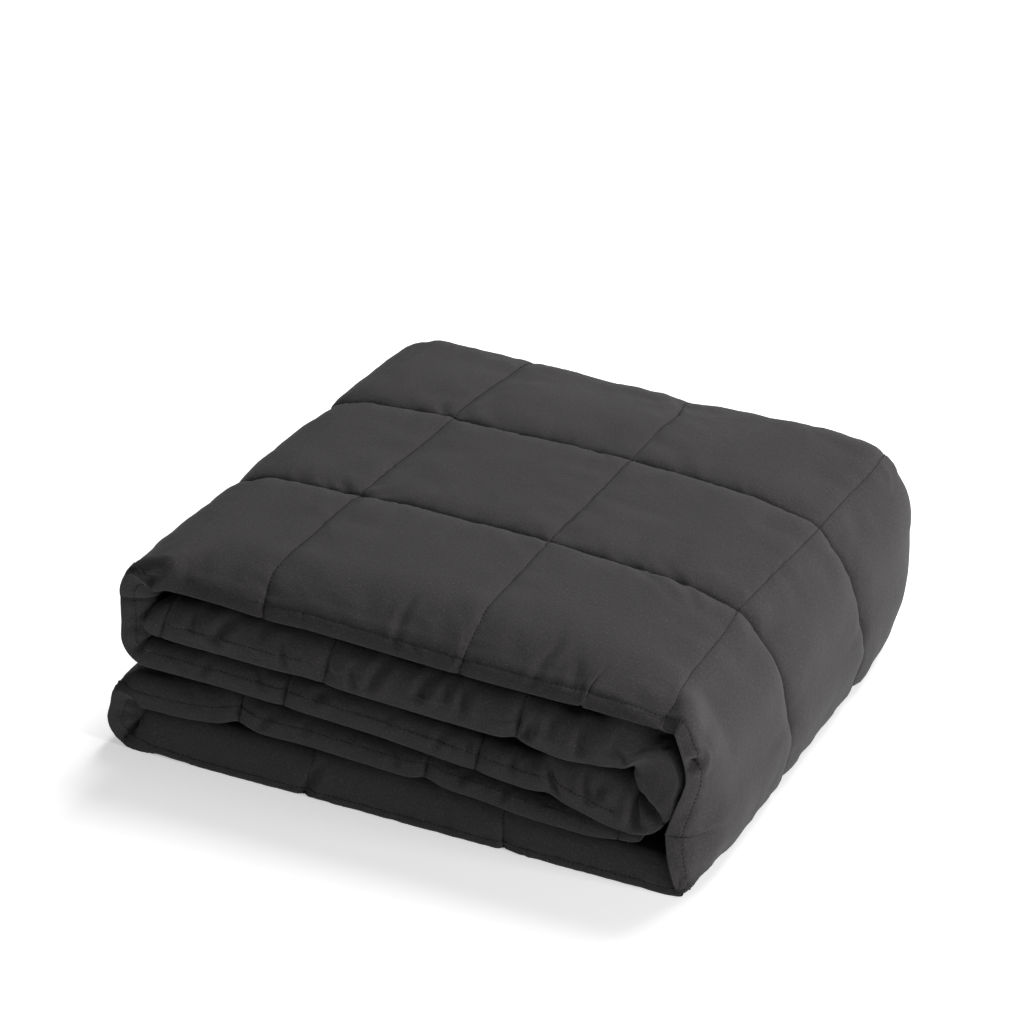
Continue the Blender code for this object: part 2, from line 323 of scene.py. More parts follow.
CREASES = (
    # gathers above the top layer's hem
    Crease(TOP_LAYER, ((0.065, 0.009), (0.062, 0.022)), 0.0010, 0.0030),
    Crease(TOP_LAYER, ((0.212, 0.007), (0.210, 0.026), (0.211, 0.040)), 0.0019, 0.0024),
    Crease(TOP_LAYER, ((0.300, 0.006), (0.303, 0.022), (0.308, 0.038)), 0.0022, 0.0024),
    Crease(TOP_LAYER, ((0.322, 0.009), (0.322, 0.026)), 0.0016, 0.0022),
    Crease(TOP_LAYER, ((0.350, 0.009), (0.352, 0.030)), 0.0016, 0.0022),
    Crease(TOP_LAYER, ((0.377, 0.010), (0.372, 0.022)), 0.0010, 0.0028),
    # drags on the top, beside the first and second rows
    Crease(TOP_LAYER, ((0.300, 0.150), (0.335, 0.129), (0.352, 0.115)), 0.0012, 0.0026),
    Crease(TOP_LAYER, ((0.322, 0.158), (0.352, 0.136), (0.366, 0.118)), 0.0011, 0.0026),
    Crease(TOP_LAYER, ((0.140, 0.160), (0.123, 0.144), (0.116, 0.138)), 0.0013, 0.0024),
    Crease(TOP_LAYER, ((0.095, 0.158), (0.108, 0.145)), 0.0012, 0.0024),
    Crease(TOP_LAYER, ((0.100, 0.285), (0.111, 0.271)), 0.0012, 0.0024),
    Crease(TOP_LAYER, ((0.130, 0.290), (0.119, 0.272)), 0.0012, 0.0024),
    # second layer
    Crease(SECOND_LAYER, ((0.088, 0.010), (0.097, 0.026)), 0.0036, 0.0034),
    Crease(SECOND_LAYER, ((0.118, 0.016), (0.121, 0.028)), 0.0015, 0.0030),
    Crease(SECOND_LAYER, ((0.197, 0.006), (0.205, 0.028)), 0.0031, 0.0034),
    Crease(SECOND_LAYER, ((0.230, 0.010), (0.236, 0.028)), 0.0036, 0.0034),
    Crease(SECOND_LAYER, ((0.248, 0.013), (0.250, 0.026)), 0.0020, 0.0028),
    Crease(SECOND_LAYER, ((0.260, 0.008), (0.261, 0.026)), 0.0031, 0.0032),
    Crease(SECOND_LAYER, ((0.318, 0.012), (0.320, 0.026)), 0.0020, 0.0032),
    Crease(SECOND_LAYER, ((0.340, 0.006), (0.341, 0.024)), 0.0031, 0.0036),
    Crease(SECOND_LAYER, ((0.070, 0.012), (0.073, 0.026)), 0.0020, 0.0030),
    Crease(SECOND_LAYER, ((0.138, 0.003), (0.134, 0.020)), 0.0024, 0.0030),
    Crease(SECOND_LAYER, ((0.188, 0.002), (0.184, 0.016)), 0.0024, 0.0028),
    Crease(SECOND_LAYER, ((0.304, 0.002), (0.308, 0.016)), 0.0034, 0.0026),
    # third layer
    Crease(THIRD_LAYER, ((0.076, 0.004), (0.080, 0.016)), 0.0017, 0.0030),
    Crease(THIRD_LAYER, ((0.118, 0.008), (0.114, 0.020)), 0.0017, 0.0028),
    Crease(THIRD_LAYER, ((0.240, 0.004), (0.244, 0.018)), 0.0018, 0.0028),
    Crease(THIRD_LAYER, ((0.262, 0.010), (0.259, 0.022)), 0.0020, 0.0028),
    Crease(THIRD_LAYER, ((0.156, 0.011), (0.163, 0.018)), 0.0025, 0.0030),
    Crease(THIRD_LAYER, ((0.207, 0.010), (0.209, 0.020)), 0.0013, 0.0030),
    Crease(THIRD_LAYER, ((0.292, 0.008), (0.290, 0.020)), 0.0017, 0.0030),
    Crease(THIRD_LAYER, ((0.325, 0.002), (0.318, 0.018)), 0.0036, 0.0030),
    Crease(THIRD_LAYER, ((0.344, 0.010), (0.342, 0.024)), 0.0031, 0.0028),
    Crease(THIRD_LAYER, ((0.350, 0.014), (0.352, 0.025)), 0.0031, 0.0026),
    # fourth layer
    Crease(FOURTH_LAYER, ((0.285, 0.004), (0.288, 0.018)), 0.0021, 0.0030),
    Crease(FOURTH_LAYER, ((0.180, 0.012), (0.182, 0.020)), 0.0010, 0.0026),
    Crease(FOURTH_LAYER, ((0.068, 0.012), (0.064, 0.022)), 0.0012, 0.0034),
    Crease(FOURTH_LAYER, ((0.118, 0.004), (0.124, 0.016)), 0.0018, 0.0028),
    Crease(FOURTH_LAYER, ((0.148, 0.008), (0.151, 0.018)), 0.0013, 0.0026),
    Crease(FOURTH_LAYER, ((0.215, 0.004), (0.211, 0.018)), 0.0016, 0.0028),
    Crease(FOURTH_LAYER, ((0.258, 0.006), (0.262, 0.016)), 0.0018, 0.0026),
    # bottom layer
    Crease(BOTTOM_LAYER, ((0.151, 0.008), (0.157, 0.030)), 0.0026, 0.0026),
    Crease(BOTTOM_LAYER, ((0.250, 0.012), (0.244, 0.030)), 0.0010, 0.0034),
    # right wall's hem
    Crease(RIGHT_WALL, ((0.093, 0.0), (0.091, 0.012)), 0.0060, 0.0028),
    Crease(RIGHT_WALL, ((0.112, 0.004), (0.108, 0.018)), 0.0012, 0.0028),
    Crease(RIGHT_WALL, ((0.060, 0.002), (0.063, 0.012)), 0.0010, 0.0030),
    Crease(RIGHT_WALL, ((0.036, 0.003), (0.040, 0.012)), 0.0009, 0.0030),
    Crease(RIGHT_WALL, ((0.020, 0.001), (0.014, 0.011)), 0.0020, 0.0024),
    # inner right fold
    Crease(STRIP, ((1.7014, 0.001), (1.7074, 0.012)), 0.0020, 0.0026),
    Crease(STRIP, ((1.7114, 0.008), (1.7084, 0.020)), 0.0014, 0.0026),
    Crease(STRIP_INSIDE, ((1.6527, 0.003), (1.6512, 0.034)), 0.0055, 0.0028),
    Crease(STRIP_INSIDE, ((1.6620, 0.001), (1.6617, 0.032)), 0.0030, 0.0026),
    # upper left fold
    Crease(STRIP, ((1.2480, 0.001), (1.2430, 0.007), (1.2360, 0.012)), 0.0026, 0.0022),
    Crease(STRIP_INSIDE, ((1.2710, 0.000), (1.2710, 0.018)), 0.0008, 0.0030),
    Crease(STRIP_INSIDE, ((1.2910, 0.000), (1.2910, 0.014)), 0.0014, 0.0024),
    Crease(STRIP_INSIDE, ((1.3055, 0.004), (1.3055, 0.024)), 0.0024, 0.0026),
    # lower left fold
    Crease(STRIP_INSIDE, ((0.3927, 0.003), (0.3927, 0.032)), 0.0030, 0.0028),
    Crease(STRIP_INSIDE, ((0.3779, 0.005), (0.3799, 0.022)), 0.0018, 0.0026),
)


@dataclass(frozen=True)
class Lift:
    """A place where the hem rides up, or hangs lower.

    Attributes:
        run: the stretch.
        place: where on it.
        up: how far.
        width: half the width of the rise.
    """

    run: Run
    place: float
    up: float
    width: float


LIFTS = (
    Lift(TOP_LAYER, 0.338, 0.0018, 0.011),
    Lift(TOP_LAYER, 0.375, -0.0010, 0.014),
    Lift(TOP_LAYER, 0.120, -0.0015, 0.020),
    Lift(SECOND_LAYER, 0.152, 0.0012, 0.012),
    Lift(SECOND_LAYER, 0.297, 0.0022, 0.007),
    Lift(SECOND_LAYER, 0.330, -0.0030, 0.018),
    Lift(SECOND_LAYER, 0.365, 0.0015, 0.014),
    Lift(THIRD_LAYER, 0.320, 0.0030, 0.007),
    Lift(THIRD_LAYER, 0.360, -0.0040, 0.022),
    Lift(FOURTH_LAYER, 0.060, -0.0020, 0.018),
    Lift(FOURTH_LAYER, 0.101, 0.0046, 0.011),
    Lift(FOURTH_LAYER, 0.237, 0.0032, 0.009),
    Lift(FOURTH_LAYER, 0.305, -0.0015, 0.022),
)


def smooth(share: np.ndarray | float) -> np.ndarray | float:
    """An S-curve from 0 to 1."""
    share = np.clip(share, 0.0, 1.0)
    return share * share * (3.0 - 2.0 * share)


def softened(values: np.ndarray, width: float, reach: int) -> np.ndarray:
    """A row of values with its detail smoothed away by a bell curve.

    Args:
        values: the row.
        width: how wide the bell is, in steps of the row.
        reach: how many steps of it count on each side.

    Returns:
        As many values.
    """
    bell = np.exp(-0.5 * (np.arange(-reach, reach + 1) / width) ** 2)
    return np.convolve(np.pad(values, reach, mode="edge"), bell / bell.sum(), mode="valid")


def mixed(
    table: np.ndarray, cell: tuple[np.ndarray, np.ndarray], share: tuple[np.ndarray, np.ndarray],
) -> np.ndarray:
    """Values at places between the rows and columns of a table.

    Args:
        table: the values.
        cell: the row and the column before each place.
        share: how far it is from there to the next row and the next column, from 0 to 1.

    Returns:
        The values.
    """
    (row, column), (down, over) = cell, share
    near = table[row, column] * (1 - down) + table[row + 1, column] * down
    far = table[row, column + 1] * (1 - down) + table[row + 1, column + 1] * down
    return near * (1 - over) + far * over


def trace(where: np.ndarray, far: np.ndarray, line: np.ndarray) -> np.ndarray:
    """Points of a line at distances along it, where far holds its own points' distances."""
    return np.stack([np.interp(where, far, line[:, axis]) for axis in (0, 1)], axis=1)


def paced(depth: np.ndarray, height: np.ndarray) -> np.ndarray:
    """How far along its row each point of a section lies."""
    hops = np.hypot(np.diff(depth, axis=1), np.diff(height, axis=1))
    return np.pad(np.cumsum(hops, axis=1), ((0, 0), (1, 0)))


def placed(name: str, data: bpy.types.ID) -> bpy.types.Object:
    """A new object in the scene."""
    piece = bpy.data.objects.new(name, data)
    bpy.context.scene.collection.objects.link(piece)
    return piece


@dataclass(frozen=True)
class FoldedStrip:
    """The line that the middle of the cloth follows through its folds.

    Attributes:
        step: spacing of the tables along the strip.
        arc_steps: steps in each rounded bend.
        lead: half the length of line that gives its direction at a place.
        pinch: the tightest inside radius of a fold.
        front_depths: how many depths the line is laid at in the front edge's own shape.
        middle_depths: the depths between that shape and the back fold's.
        back_depths: how many there are in the back fold's shape.
        soften: width and reach of the bell that softens the sizes, in steps.
        ease: the same for the limits inside the folds.
        nose_passes: how many more times the hem's way from face to face is softened.
        along: the distances along the strip that the tables hold.
        length: the strip's whole length.
        depths: the depths that the line is laid at.
        table: at each depth and distance the line's place, then its normal.
        build: the cloth's sizes at each distance, by name.
    """

    step: float = 0.001
    arc_steps: int = 16
    lead: float = 0.0015
    pinch: float = 0.0012
    front_depths: int = 9
    middle_depths: tuple[float, ...] = (0.12, 0.20)
    back_depths: int = 10
    soften: tuple[float, int] = (1.2, 4)
    ease: tuple[float, int] = (4.0, 12)
    nose_passes: int = 7
    along: np.ndarray = field(init=False)
    length: float = field(init=False)
    depths: np.ndarray = field(init=False)
    table: np.ndarray = field(init=False)
    build: dict[str, np.ndarray] = field(init=False)

    def corners(self, front: float, back: float) -> np.ndarray:
        """The bends' places at a depth.

        Args:
            front: 1 at the front edge, 0 where its own shape has faded.
            back: the same for the back fold.

        Returns:
            One row for each bend, across and up.
        """
        return np.array([
            (b.x + front * b.front[0] + back * b.back[0], b.z + front * b.front[1] + back * b.back[1])
            for b in BENDS
        ])

    def rounded(self, front: float = 0.0, back: float = 0.0) -> np.ndarray:
        """The line with its bends rounded.

        Args:
            front: as for corners.
            back: as for corners.

        Returns:
            Points in rows: the first, arc_steps + 1 for each bend between, and the last.
        """
        spots = self.corners(front, back)
        line = [spots[0]]
        for index in range(1, len(BENDS) - 1):
            here, bend = spots[index], BENDS[index]
            radius = bend.radius * (1.0 - front * bend.crisp)
            into = here - spots[index - 1]
            out = spots[index + 1] - here
            into_length, out_length = np.linalg.norm(into), np.linalg.norm(out)
            into, out = into / into_length, out / out_length
            turn = math.atan2(into[0] * out[1] - into[1] * out[0], float(into @ out))
            reach = 0.5 * min(into_length, out_length)
            radius = min(radius, reach / max(math.tan(abs(turn) / 2), 1e-6))
            side = np.array((-into[1], into[0])) * math.copysign(1.0, turn)
            centre = here - into * radius * math.tan(abs(turn) / 2) + side * radius
            for spin in np.linspace(0.0, turn, self.arc_steps + 1):
                c, s = math.cos(spin), math.sin(spin)
                arm = -side * radius
                line.append(centre + np.array((c * arm[0] - s * arm[1], s * arm[0] + c * arm[1])))
        line.append(spots[-1])
        return np.array(line)

    def spread(self, values: list[tuple[float, float]]) -> np.ndarray:
        """Each bend's values, before and after its middle, repeated for the rounded line's points."""
        past = np.arange(self.arc_steps + 1) > self.arc_steps / 2
        bends = [np.where(past, after, before) for before, after in values[1:-1]]
        return np.concatenate([values[0][:1], *bends, values[-1][1:]])

    def __post_init__(self) -> None:
        """Fills the tables that the methods below read."""
        base = self.rounded()
        far = np.concatenate(([0.0], np.cumsum(np.linalg.norm(np.diff(base, axis=0), axis=1))))
        along = np.linspace(0.0, far[-1], int(far[-1] / self.step) + 1)
        depths = np.concatenate((
            np.linspace(-HEM, FRONT_BLEND - HEM, self.front_depths), self.middle_depths,
            np.linspace(DEPTH - BACK_BLEND, DEPTH, self.back_depths),
        ))
        table = np.stack([self.laid(depth, along, far) for depth in depths])
        tables = {
            "along": along, "length": float(far[-1]), "depths": depths, "table": table,
            "build": self.sized(along, far, table),
        }
        for name, value in tables.items():
            object.__setattr__(self, name, value)

    def laid(self, depth: float, along: np.ndarray, far: np.ndarray) -> np.ndarray:
        """The line at one depth.

        Args:
            depth: distance from the hem's stitching towards the back.
            along: the distances along the strip to read.
            far: the distances of the rounded line's own points.

        Returns:
            For each distance, the place across and up, then the normal across and up.
        """
        front = 1.0 - smooth((depth + HEM) / FRONT_BLEND)
        back = 1.0 - smooth((DEPTH - depth) / BACK_BLEND)
        line = self.rounded(front, back)
        ahead = trace(np.minimum(along + self.lead, far[-1]), far, line)
        ahead -= trace(np.maximum(along - self.lead, 0.0), far, line)
        ahead /= np.linalg.norm(ahead, axis=1)[:, None]
        return np.column_stack((trace(along, far, line), -ahead[:, 1], ahead[:, 0]))

    def sized(self, along: np.ndarray, far: np.ndarray, table: np.ndarray) -> dict[str, np.ndarray]:
        """The cloth's sizes along the strip.

        Args:
            along: the distances to read.
            far: the distances of the rounded line's own points.
            table: the line at each depth.

        Returns:
            The sizes at each distance, by name.
        """
        bends = {
            "half": [(b.half, b.half) for b in BENDS],
            "inside": [(b.inside, b.inside) for b in BENDS],
            "front outer": [(b.half + b.outside, b.half + b.outside) for b in BENDS],
        }
        for name in ("outer", "inner", "nose", "tuck", "sewn", "flat"):
            bends[name] = [(getattr(b.edge, name), getattr(b.after or b.edge, name)) for b in BENDS]
        sizes = {
            name: softened(np.interp(along, far, self.spread(pairs)), *self.soften)
            for name, pairs in bends.items()
        }
        for _ in range(self.nose_passes):
            sizes["nose"] = softened(sizes["nose"], *self.soften)
        swing = np.cross(table[:, :-1, 2:], table[:, 1:, 2:]).max(axis=0) / along[1]
        room = np.maximum(1.0 / np.maximum(np.append(swing, swing[-1]), 1.0) - self.pinch, self.pinch)
        reaching = sizes["half"] + sizes["inside"]
        for name, half in (("half inside", sizes["half"]), ("front inside", reaching)):
            limit = np.minimum(half, room)
            sizes[name] = np.minimum(limit, softened(limit, *self.ease))
        return sizes

    def at(self, along: np.ndarray, depth: np.ndarray) -> np.ndarray:
        """The line's place and normal.

        Args:
            along: distances along the strip.
            depth: distances from the hem's stitching towards the back.

        Returns:
            For each, the place across and up, then the normal across and up.
        """
        column = np.clip(along / self.length * (len(self.along) - 1), 0.0, len(self.along) - 1.0001)
        i = column.astype(int)
        depth = np.clip(depth, self.depths[0], self.depths[-1])
        k = np.clip(np.searchsorted(self.depths, depth) - 1, 0, len(self.depths) - 2)
        share = (depth - self.depths[k]) / (self.depths[k + 1] - self.depths[k])
        return mixed(self.table, (k, i), (share[..., None], (column - i)[..., None]))

    def value(self, name: str, along: np.ndarray) -> np.ndarray:
        """One of the cloth's sizes, such as half its thickness, at places along the strip."""
        return np.interp(along, self.along, self.build[name])

    def turning(self) -> np.ndarray:
        """The angle that the line turns through in each step of the table."""
        normal = self.table[len(self.depths) // 2, :, 2:]
        return np.arccos(np.clip((normal[1:] * normal[:-1]).sum(axis=1), -1.0, 1.0))


@dataclass(frozen=True)
class Groove:
    """The section of a stitch line: how far the face sinks towards it.

    Attributes:
        depth: how far the filling thins.
        reach: how far from the line it starts to thin.
        crisp: extra depth close to the stitches.
        width: how wide the crisp part is.
        steep: how sharply the thinning gathers towards the line.
    """

    depth: float
    reach: float
    crisp: float
    width: float
    steep: float = 2.2

    def sink(self, distance: np.ndarray) -> np.ndarray:
        """How far the face sinks at a distance from the line."""
        near = np.clip(1.0 - np.abs(distance) / self.reach, 0.0, 1.0)
        return self.depth * near ** self.steep + self.crisp * np.exp(-np.abs(distance) / self.width)


@dataclass(frozen=True)
class Noise:
    """Smooth random values on a line or a surface, the same in each run.

    Attributes:
        seed: which values.
        grain: distance between them.
    """

    seed: int
    grain: float

    def line(self, place: np.ndarray) -> np.ndarray:
        """Values between -1 and 1 at places on a line."""
        values = np.random.default_rng(self.seed).uniform(-1.0, 1.0, LINE_VALUES)
        cell = place / self.grain + LINE_START
        i = np.floor(cell).astype(int)
        share = smooth(cell - i)
        return values[i % LINE_VALUES] * (1 - share) + values[(i + 1) % LINE_VALUES] * share

    def sheet(self, along: np.ndarray, depth: np.ndarray) -> np.ndarray:
        """Values between -1 and 1 at places on a surface."""
        values = np.random.default_rng(self.seed).uniform(-1.0, 1.0, (SHEET_VALUES, SHEET_VALUES))
        u, v = along / self.grain + SHEET_START, depth / self.grain + SHEET_START
        i, j = np.floor(u).astype(int), np.floor(v).astype(int)
        cell = (i % SHEET_VALUES, j % SHEET_VALUES)
        return mixed(np.pad(values, (0, 1), mode="wrap"), cell, (smooth(u - i), smooth(v - j)))


@dataclass(frozen=True)
class Puckers:
    """Small wrinkles that run away from a stitch line, where the thread gathers the cloth.

    Attributes:
        seed: which wrinkles.
        height: how high the strongest are.
        grain: distance between them.
        reach: how far from the line they run.
        lean: how far they lean along the line on their way.
        apart: keeps the values of the line's two sides apart.
        lean_grain: distance over which their lean changes.
        strength_grain: the same for their strength.
        weakest: the least strength, as a share of the most.
        rise: share of the reach over which they rise, beside the line.
        close: share of their height that they have right at the line.
        fading: how suddenly they end at their reach.
        crisp: how much narrower they are than the valleys between.
    """

    seed: int
    height: float
    grain: float
    reach: float
    lean: float
    apart: float = 0.377
    lean_grain: float = 0.05
    strength_grain: float = 0.045
    weakest: float = 0.35
    rise: float = 0.12
    close: float = 0.25
    fading: float = 1.4
    crisp: float = 1.3

    def relief(self, place: np.ndarray, distance: np.ndarray) -> np.ndarray:
        """How far the face stands out.

        Args:
            place: distance along the stitch line.
            distance: signed distance from it.

        Returns:
            Heights, some of them below zero.
        """
        side = np.where(distance > 0, 1.0, 2.0)
        lean = self.lean * np.abs(distance) * Noise(self.seed + 1, self.lean_grain).line(place)
        wave = Noise(self.seed, self.grain / 2).line(place + side * self.apart + lean)
        strength = np.abs(Noise(self.seed + 2, self.strength_grain).line(place + side))
        strength = self.weakest + (1.0 - self.weakest) * strength
        away = np.abs(distance) / self.reach
        fade = np.clip(away / self.rise, self.close, 1.0) * np.exp(-away ** self.fading)
        return self.height * strength * fade * np.sign(wave) * np.abs(wave) ** self.crisp


@dataclass(frozen=True)
class CottonSheet:
    """The quilted sheet, laid flat and blown up between its pinned stitch lines by Blender's cloth.

    Attributes:
        cells: cells along each side of a square.
        frames: how long it runs.
        pressure: what lifts the squares.
        slack: share of spare cloth between the stitch lines.
        blur: cells over which the plain crown is told from the wrinkles.
        cap: the furthest that a wrinkle stands out.
        share: how much of the wrinkles the filled cloth keeps.
        uneven: how far the flat sheet's points lie above or below it, so that the wrinkles vary.
        quality: the solver's steps in each frame.
        mass: what a point of the sheet weighs, for the solver.
        stretch: how strongly the threads resist a pull or a push.
        shear: how strongly they resist a slant.
        bending: how strongly they resist a bend.
    """

    cells: int = 22
    frames: int = 18
    pressure: float = 3.0
    slack: float = 0.022
    blur: float = 1.8
    cap: float = 0.0010
    share: float = 0.45
    uneven: float = 0.0004
    quality: int = 5
    mass: float = 0.3
    stretch: float = 12.0
    shear: float = 4.0
    bending: float = 0.08

    def sheet(self) -> bpy.types.Object:
        """The flat sheet, its stitch lines in a vertex group."""
        squares = len(SEAMS) - 1
        rows, columns = squares * self.cells + 1, 3 * self.cells + 1
        u, v = np.meshgrid(np.arange(rows), np.arange(columns), indexing="ij")
        size = SQUARE_DEEP / self.cells
        lump = self.uneven * Noise(5, 3.0).sheet(u, v)
        points = np.stack((u * size, v * size, lump), axis=-1).reshape(-1, 3)
        index = np.arange(rows * columns).reshape(rows, columns)
        corners = (index[:-1, :-1], index[1:, :-1], index[1:, 1:], index[:-1, 1:])
        mesh = bpy.data.meshes.new("loose_sheet")
        mesh.from_pydata(points.tolist(), [], np.stack(corners, axis=-1).reshape(-1, 4).tolist())
        sheet = placed("loose_sheet", mesh)
        pinned = index[(u % self.cells == 0) | (v % self.cells == 0)]
        sheet.vertex_groups.new(name="stitches").add(pinned.tolist(), 1.0, "REPLACE")
        return sheet

    def wrinkles(self) -> np.ndarray:
        """Runs the cloth.

        Returns:
            How far each point of the sheet stands out from its square's plain crown.
        """
        sheet = self.sheet()
        cloth = sheet.modifiers.new("Cloth", "CLOTH")
        settings = cloth.settings
        settings.vertex_group_mass = "stitches"
        settings.use_pressure = True
        settings.uniform_pressure_force = self.pressure
        settings.shrink_min = -self.slack
        settings.quality = self.quality
        settings.mass = self.mass
        settings.tension_stiffness = settings.compression_stiffness = self.stretch
        settings.shear_stiffness = self.shear
        settings.bending_stiffness = self.bending
        settings.effector_weights.gravity = 0.0
        cloth.collision_settings.use_collision = False
        cloth.collision_settings.use_self_collision = False
        scene = bpy.context.scene
        for frame_number in range(1, self.frames + 1):
            scene.frame_set(frame_number)
        graph = bpy.context.evaluated_depsgraph_get()
        settled = sheet.evaluated_get(graph).data
        points = np.empty(len(settled.vertices) * 3)
        settled.vertices.foreach_get("co", points)
        height = points.reshape(-1, 3)[:, 2].reshape(-1, 3 * self.cells + 1)
        scene.frame_set(1)
        mesh = sheet.data
        bpy.data.objects.remove(sheet)
        bpy.data.meshes.remove(mesh)
        LOG.info("cloth: crown %.1f mm", height.max() * 1000)
        crown = height
        for axis in (0, 1):
            crown = np.apply_along_axis(softened, axis, crown, self.blur, int(3 * self.blur))
        fine = height - crown
        LOG.info("cloth: wrinkles %.2f mm", fine.std() * 1000)
        return self.cap * np.tanh(self.share * fine / self.cap)

    def relief(self) -> np.ndarray | None:
        return self.wrinkles()


@dataclass(frozen=True)
class Quilting:
    """The stitch lines and the relief between them.

    Attributes:
        wrinkles: the simulated sheet's wrinkles, or nothing.
        across: the lines that run from front to back.
        rows: the lines that run along the strip.
        hem: the line beside the hem's edge.
        pinch: the extra sinking of a seam at the front edge, as shares of the seam's own.
        pinch_fade: distance over the cloth from the hem's edge at which that has gone.
        lumps: the filling's unevenness, as layers of random relief: seed, grain and height.
        lump_rise: distance past the hem over which it grows.
        hem_puckers: the puckers beside the hem.
        row_puckers: those beside the rows.
        seam_puckers: those beside the seams.
        crease_margin: how far round a crease its trough is reckoned.
        crease_ends: how deep a crease is at its ends, as a share of its middle.
        crease_tip: share of its length at each end that is no deeper than that.
        crease_taper: how quickly it deepens from there; less is quicker.
        ridge: height of the ridges beside a crease, as a share of its depth.
        ridge_at: how far from the crease they stand, in its widths.
    """

    wrinkles: np.ndarray | None
    across: Groove = Groove(0.0008, 0.014, 0.0006, 0.0009)
    rows: Groove = Groove(0.0025, 0.019, 0.0022, 0.0012)
    hem: Groove = Groove(0.0002, 0.005, 0.0006, 0.0006)
    pinch: Groove = Groove(0.55, 0.0085, 0.45, 0.0014)
    pinch_fade: float = 0.045
    lumps: tuple[tuple[int, float, float], ...] = ((21, 0.034, 0.0006), (22, 0.012, 0.00010))
    lump_rise: float = 0.02
    hem_puckers: tuple[Puckers, ...] = (
        Puckers(31, 0.0008, 0.0060, 0.0060, 1.2), Puckers(34, 0.0006, 0.016, 0.018, 1.0))
    row_puckers: tuple[Puckers, ...] = (
        Puckers(41, 0.0007, 0.0055, 0.0055, 1.5), Puckers(44, 0.0007, 0.014, 0.016, 1.6))
    seam_puckers: tuple[Puckers, ...] = (
        Puckers(51, 0.0010, 0.0045, 0.0060, 1.2), Puckers(54, 0.0007, 0.014, 0.014, 1.4))
    crease_margin: float = 0.02
    crease_ends: float = 0.35
    crease_tip: float = 0.02
    crease_taper: float = 0.7
    ridge: float = 0.35
    ridge_at: float = 2.1

    def sink(self, along: np.ndarray, depth: np.ndarray, edge: np.ndarray, sewn: np.ndarray) -> np.ndarray:
        """How far a face sinks for the stitch lines nearby.

        Args:
            along: distances along the strip.
            depth: distances from the hem's stitching towards the back.
            edge: distances over the cloth from the hem's edge.
            sewn: how deep the hem's stitching lies, as a share of the full groove.

        Returns:
            The depths.
        """
        gaps = np.abs(along[:, None] - SEAM_PLACES)
        nearest = gaps.min(axis=1)[:, None]
        extra = np.array([seam.pinch for seam in SEAMS])[gaps.argmin(axis=1)][:, None]
        row = np.abs(depth[..., None] - np.array(ROWS)).min(axis=-1)
        quilted = np.hypot(self.across.sink(nearest), self.rows.sink(row))
        front = (1.0 - smooth(edge / self.pinch_fade)) * smooth(edge / HEM)
        pinched = extra * self.pinch.sink(nearest) * front
        return quilted + pinched + np.maximum(sewn, 0.0) * self.hem.sink(edge - HEM)

    def stands(self, along: np.ndarray, depth: np.ndarray, edge: np.ndarray, face: Face) -> np.ndarray:
        """How far a face stands out for its wrinkles, lumps and creases.

        Args:
            along: distances along the strip.
            depth: distances from the hem's stitching towards the back.
            edge: distances over the cloth from the hem's edge.
            face: which face.

        Returns:
            The heights.
        """
        where = np.repeat(along[:, None], depth.shape[1], axis=1)
        twin = TWIN_APART if face is Face.INNER else 0.0
        height = sum(
            size * Noise(seed, grain).sheet(where + twin, depth) for seed, grain, size in self.lumps)
        height = height * smooth((edge - HEM) / self.lump_rise)
        for puckers in self.hem_puckers:
            height += puckers.relief(where + twin, edge - HEM)
        for index, row in enumerate(ROWS):
            for puckers in self.row_puckers:
                height += puckers.relief(where + twin + ROW_APART * index, depth - row)
        closest = np.abs(along[:, None] - SEAM_PLACES).argmin(axis=1)
        offset = where - SEAM_PLACES[closest][:, None]
        for puckers in self.seam_puckers:
            height += puckers.relief(depth + closest[:, None] * SEAM_APART + twin, offset)
        if self.wrinkles is not None:
            height += self.simulated(where, depth, face)
        return height - self.creased(where, edge, face)

    def simulated(self, where: np.ndarray, depth: np.ndarray, face: Face) -> np.ndarray:
        """The simulated sheet's wrinkles at places on a face.

        Args:
            where: distances along the strip.
            depth: distances from the hem's stitching towards the back.
            face: which face.

        Returns:
            The heights.
        """
        rows, columns = self.wrinkles.shape
        cells = (columns - 1) // 3
        u = np.interp(where, SEAM_PLACES, np.arange(len(SEAMS)) * float(cells))
        if face is Face.INNER:
            u = (rows - 1) - u
        v = np.clip(depth / SQUARE_DEEP * cells, 0.0, columns - 1.001)
        u = np.clip(u, 0.0, rows - 1.001)
        i, j = u.astype(int), v.astype(int)
        inside = (where > SEAM_PLACES[0]) & (where < SEAM_PLACES[-1]) & (depth > 0)
        return np.where(inside, mixed(self.wrinkles, (i, j), (u - i, v - j)), 0.0)

    def creased(self, where: np.ndarray, edge: np.ndarray, face: Face) -> np.ndarray:
        """How far the listed creases sink a face.

        Args:
            where: distances along the strip.
            edge: distances over the cloth from the hem's edge.
            face: which face.

        Returns:
            The depths.
        """
        total = np.zeros_like(edge)
        for crease in CREASES:
            if crease.run.face is not face:
                continue
            spots = [np.array((crease.run.along(place), far)) for place, far in crease.route]
            low, high = np.min(spots, axis=0)[0], np.max(spots, axis=0)[0]
            near = (where[:, 0] > low - self.crease_margin) & (where[:, 0] < high + self.crease_margin)
            rings = np.flatnonzero(near)
            if not len(rings):
                continue
            part = slice(rings[0], rings[-1] + 1)
            gap, share = self.beside(spots, where[part], edge[part])
            inner = np.clip(share, self.crease_tip, 1.0 - self.crease_tip)
            swell = np.sin(math.pi * inner) ** self.crease_taper
            strength = crease.depth * (self.crease_ends + (1.0 - self.crease_ends) * swell)
            away = gap / crease.width
            ridge = self.ridge * np.exp(-(away - self.ridge_at) ** 2)
            total[part] += strength * (np.exp(-away ** 2) - ridge)
        return total

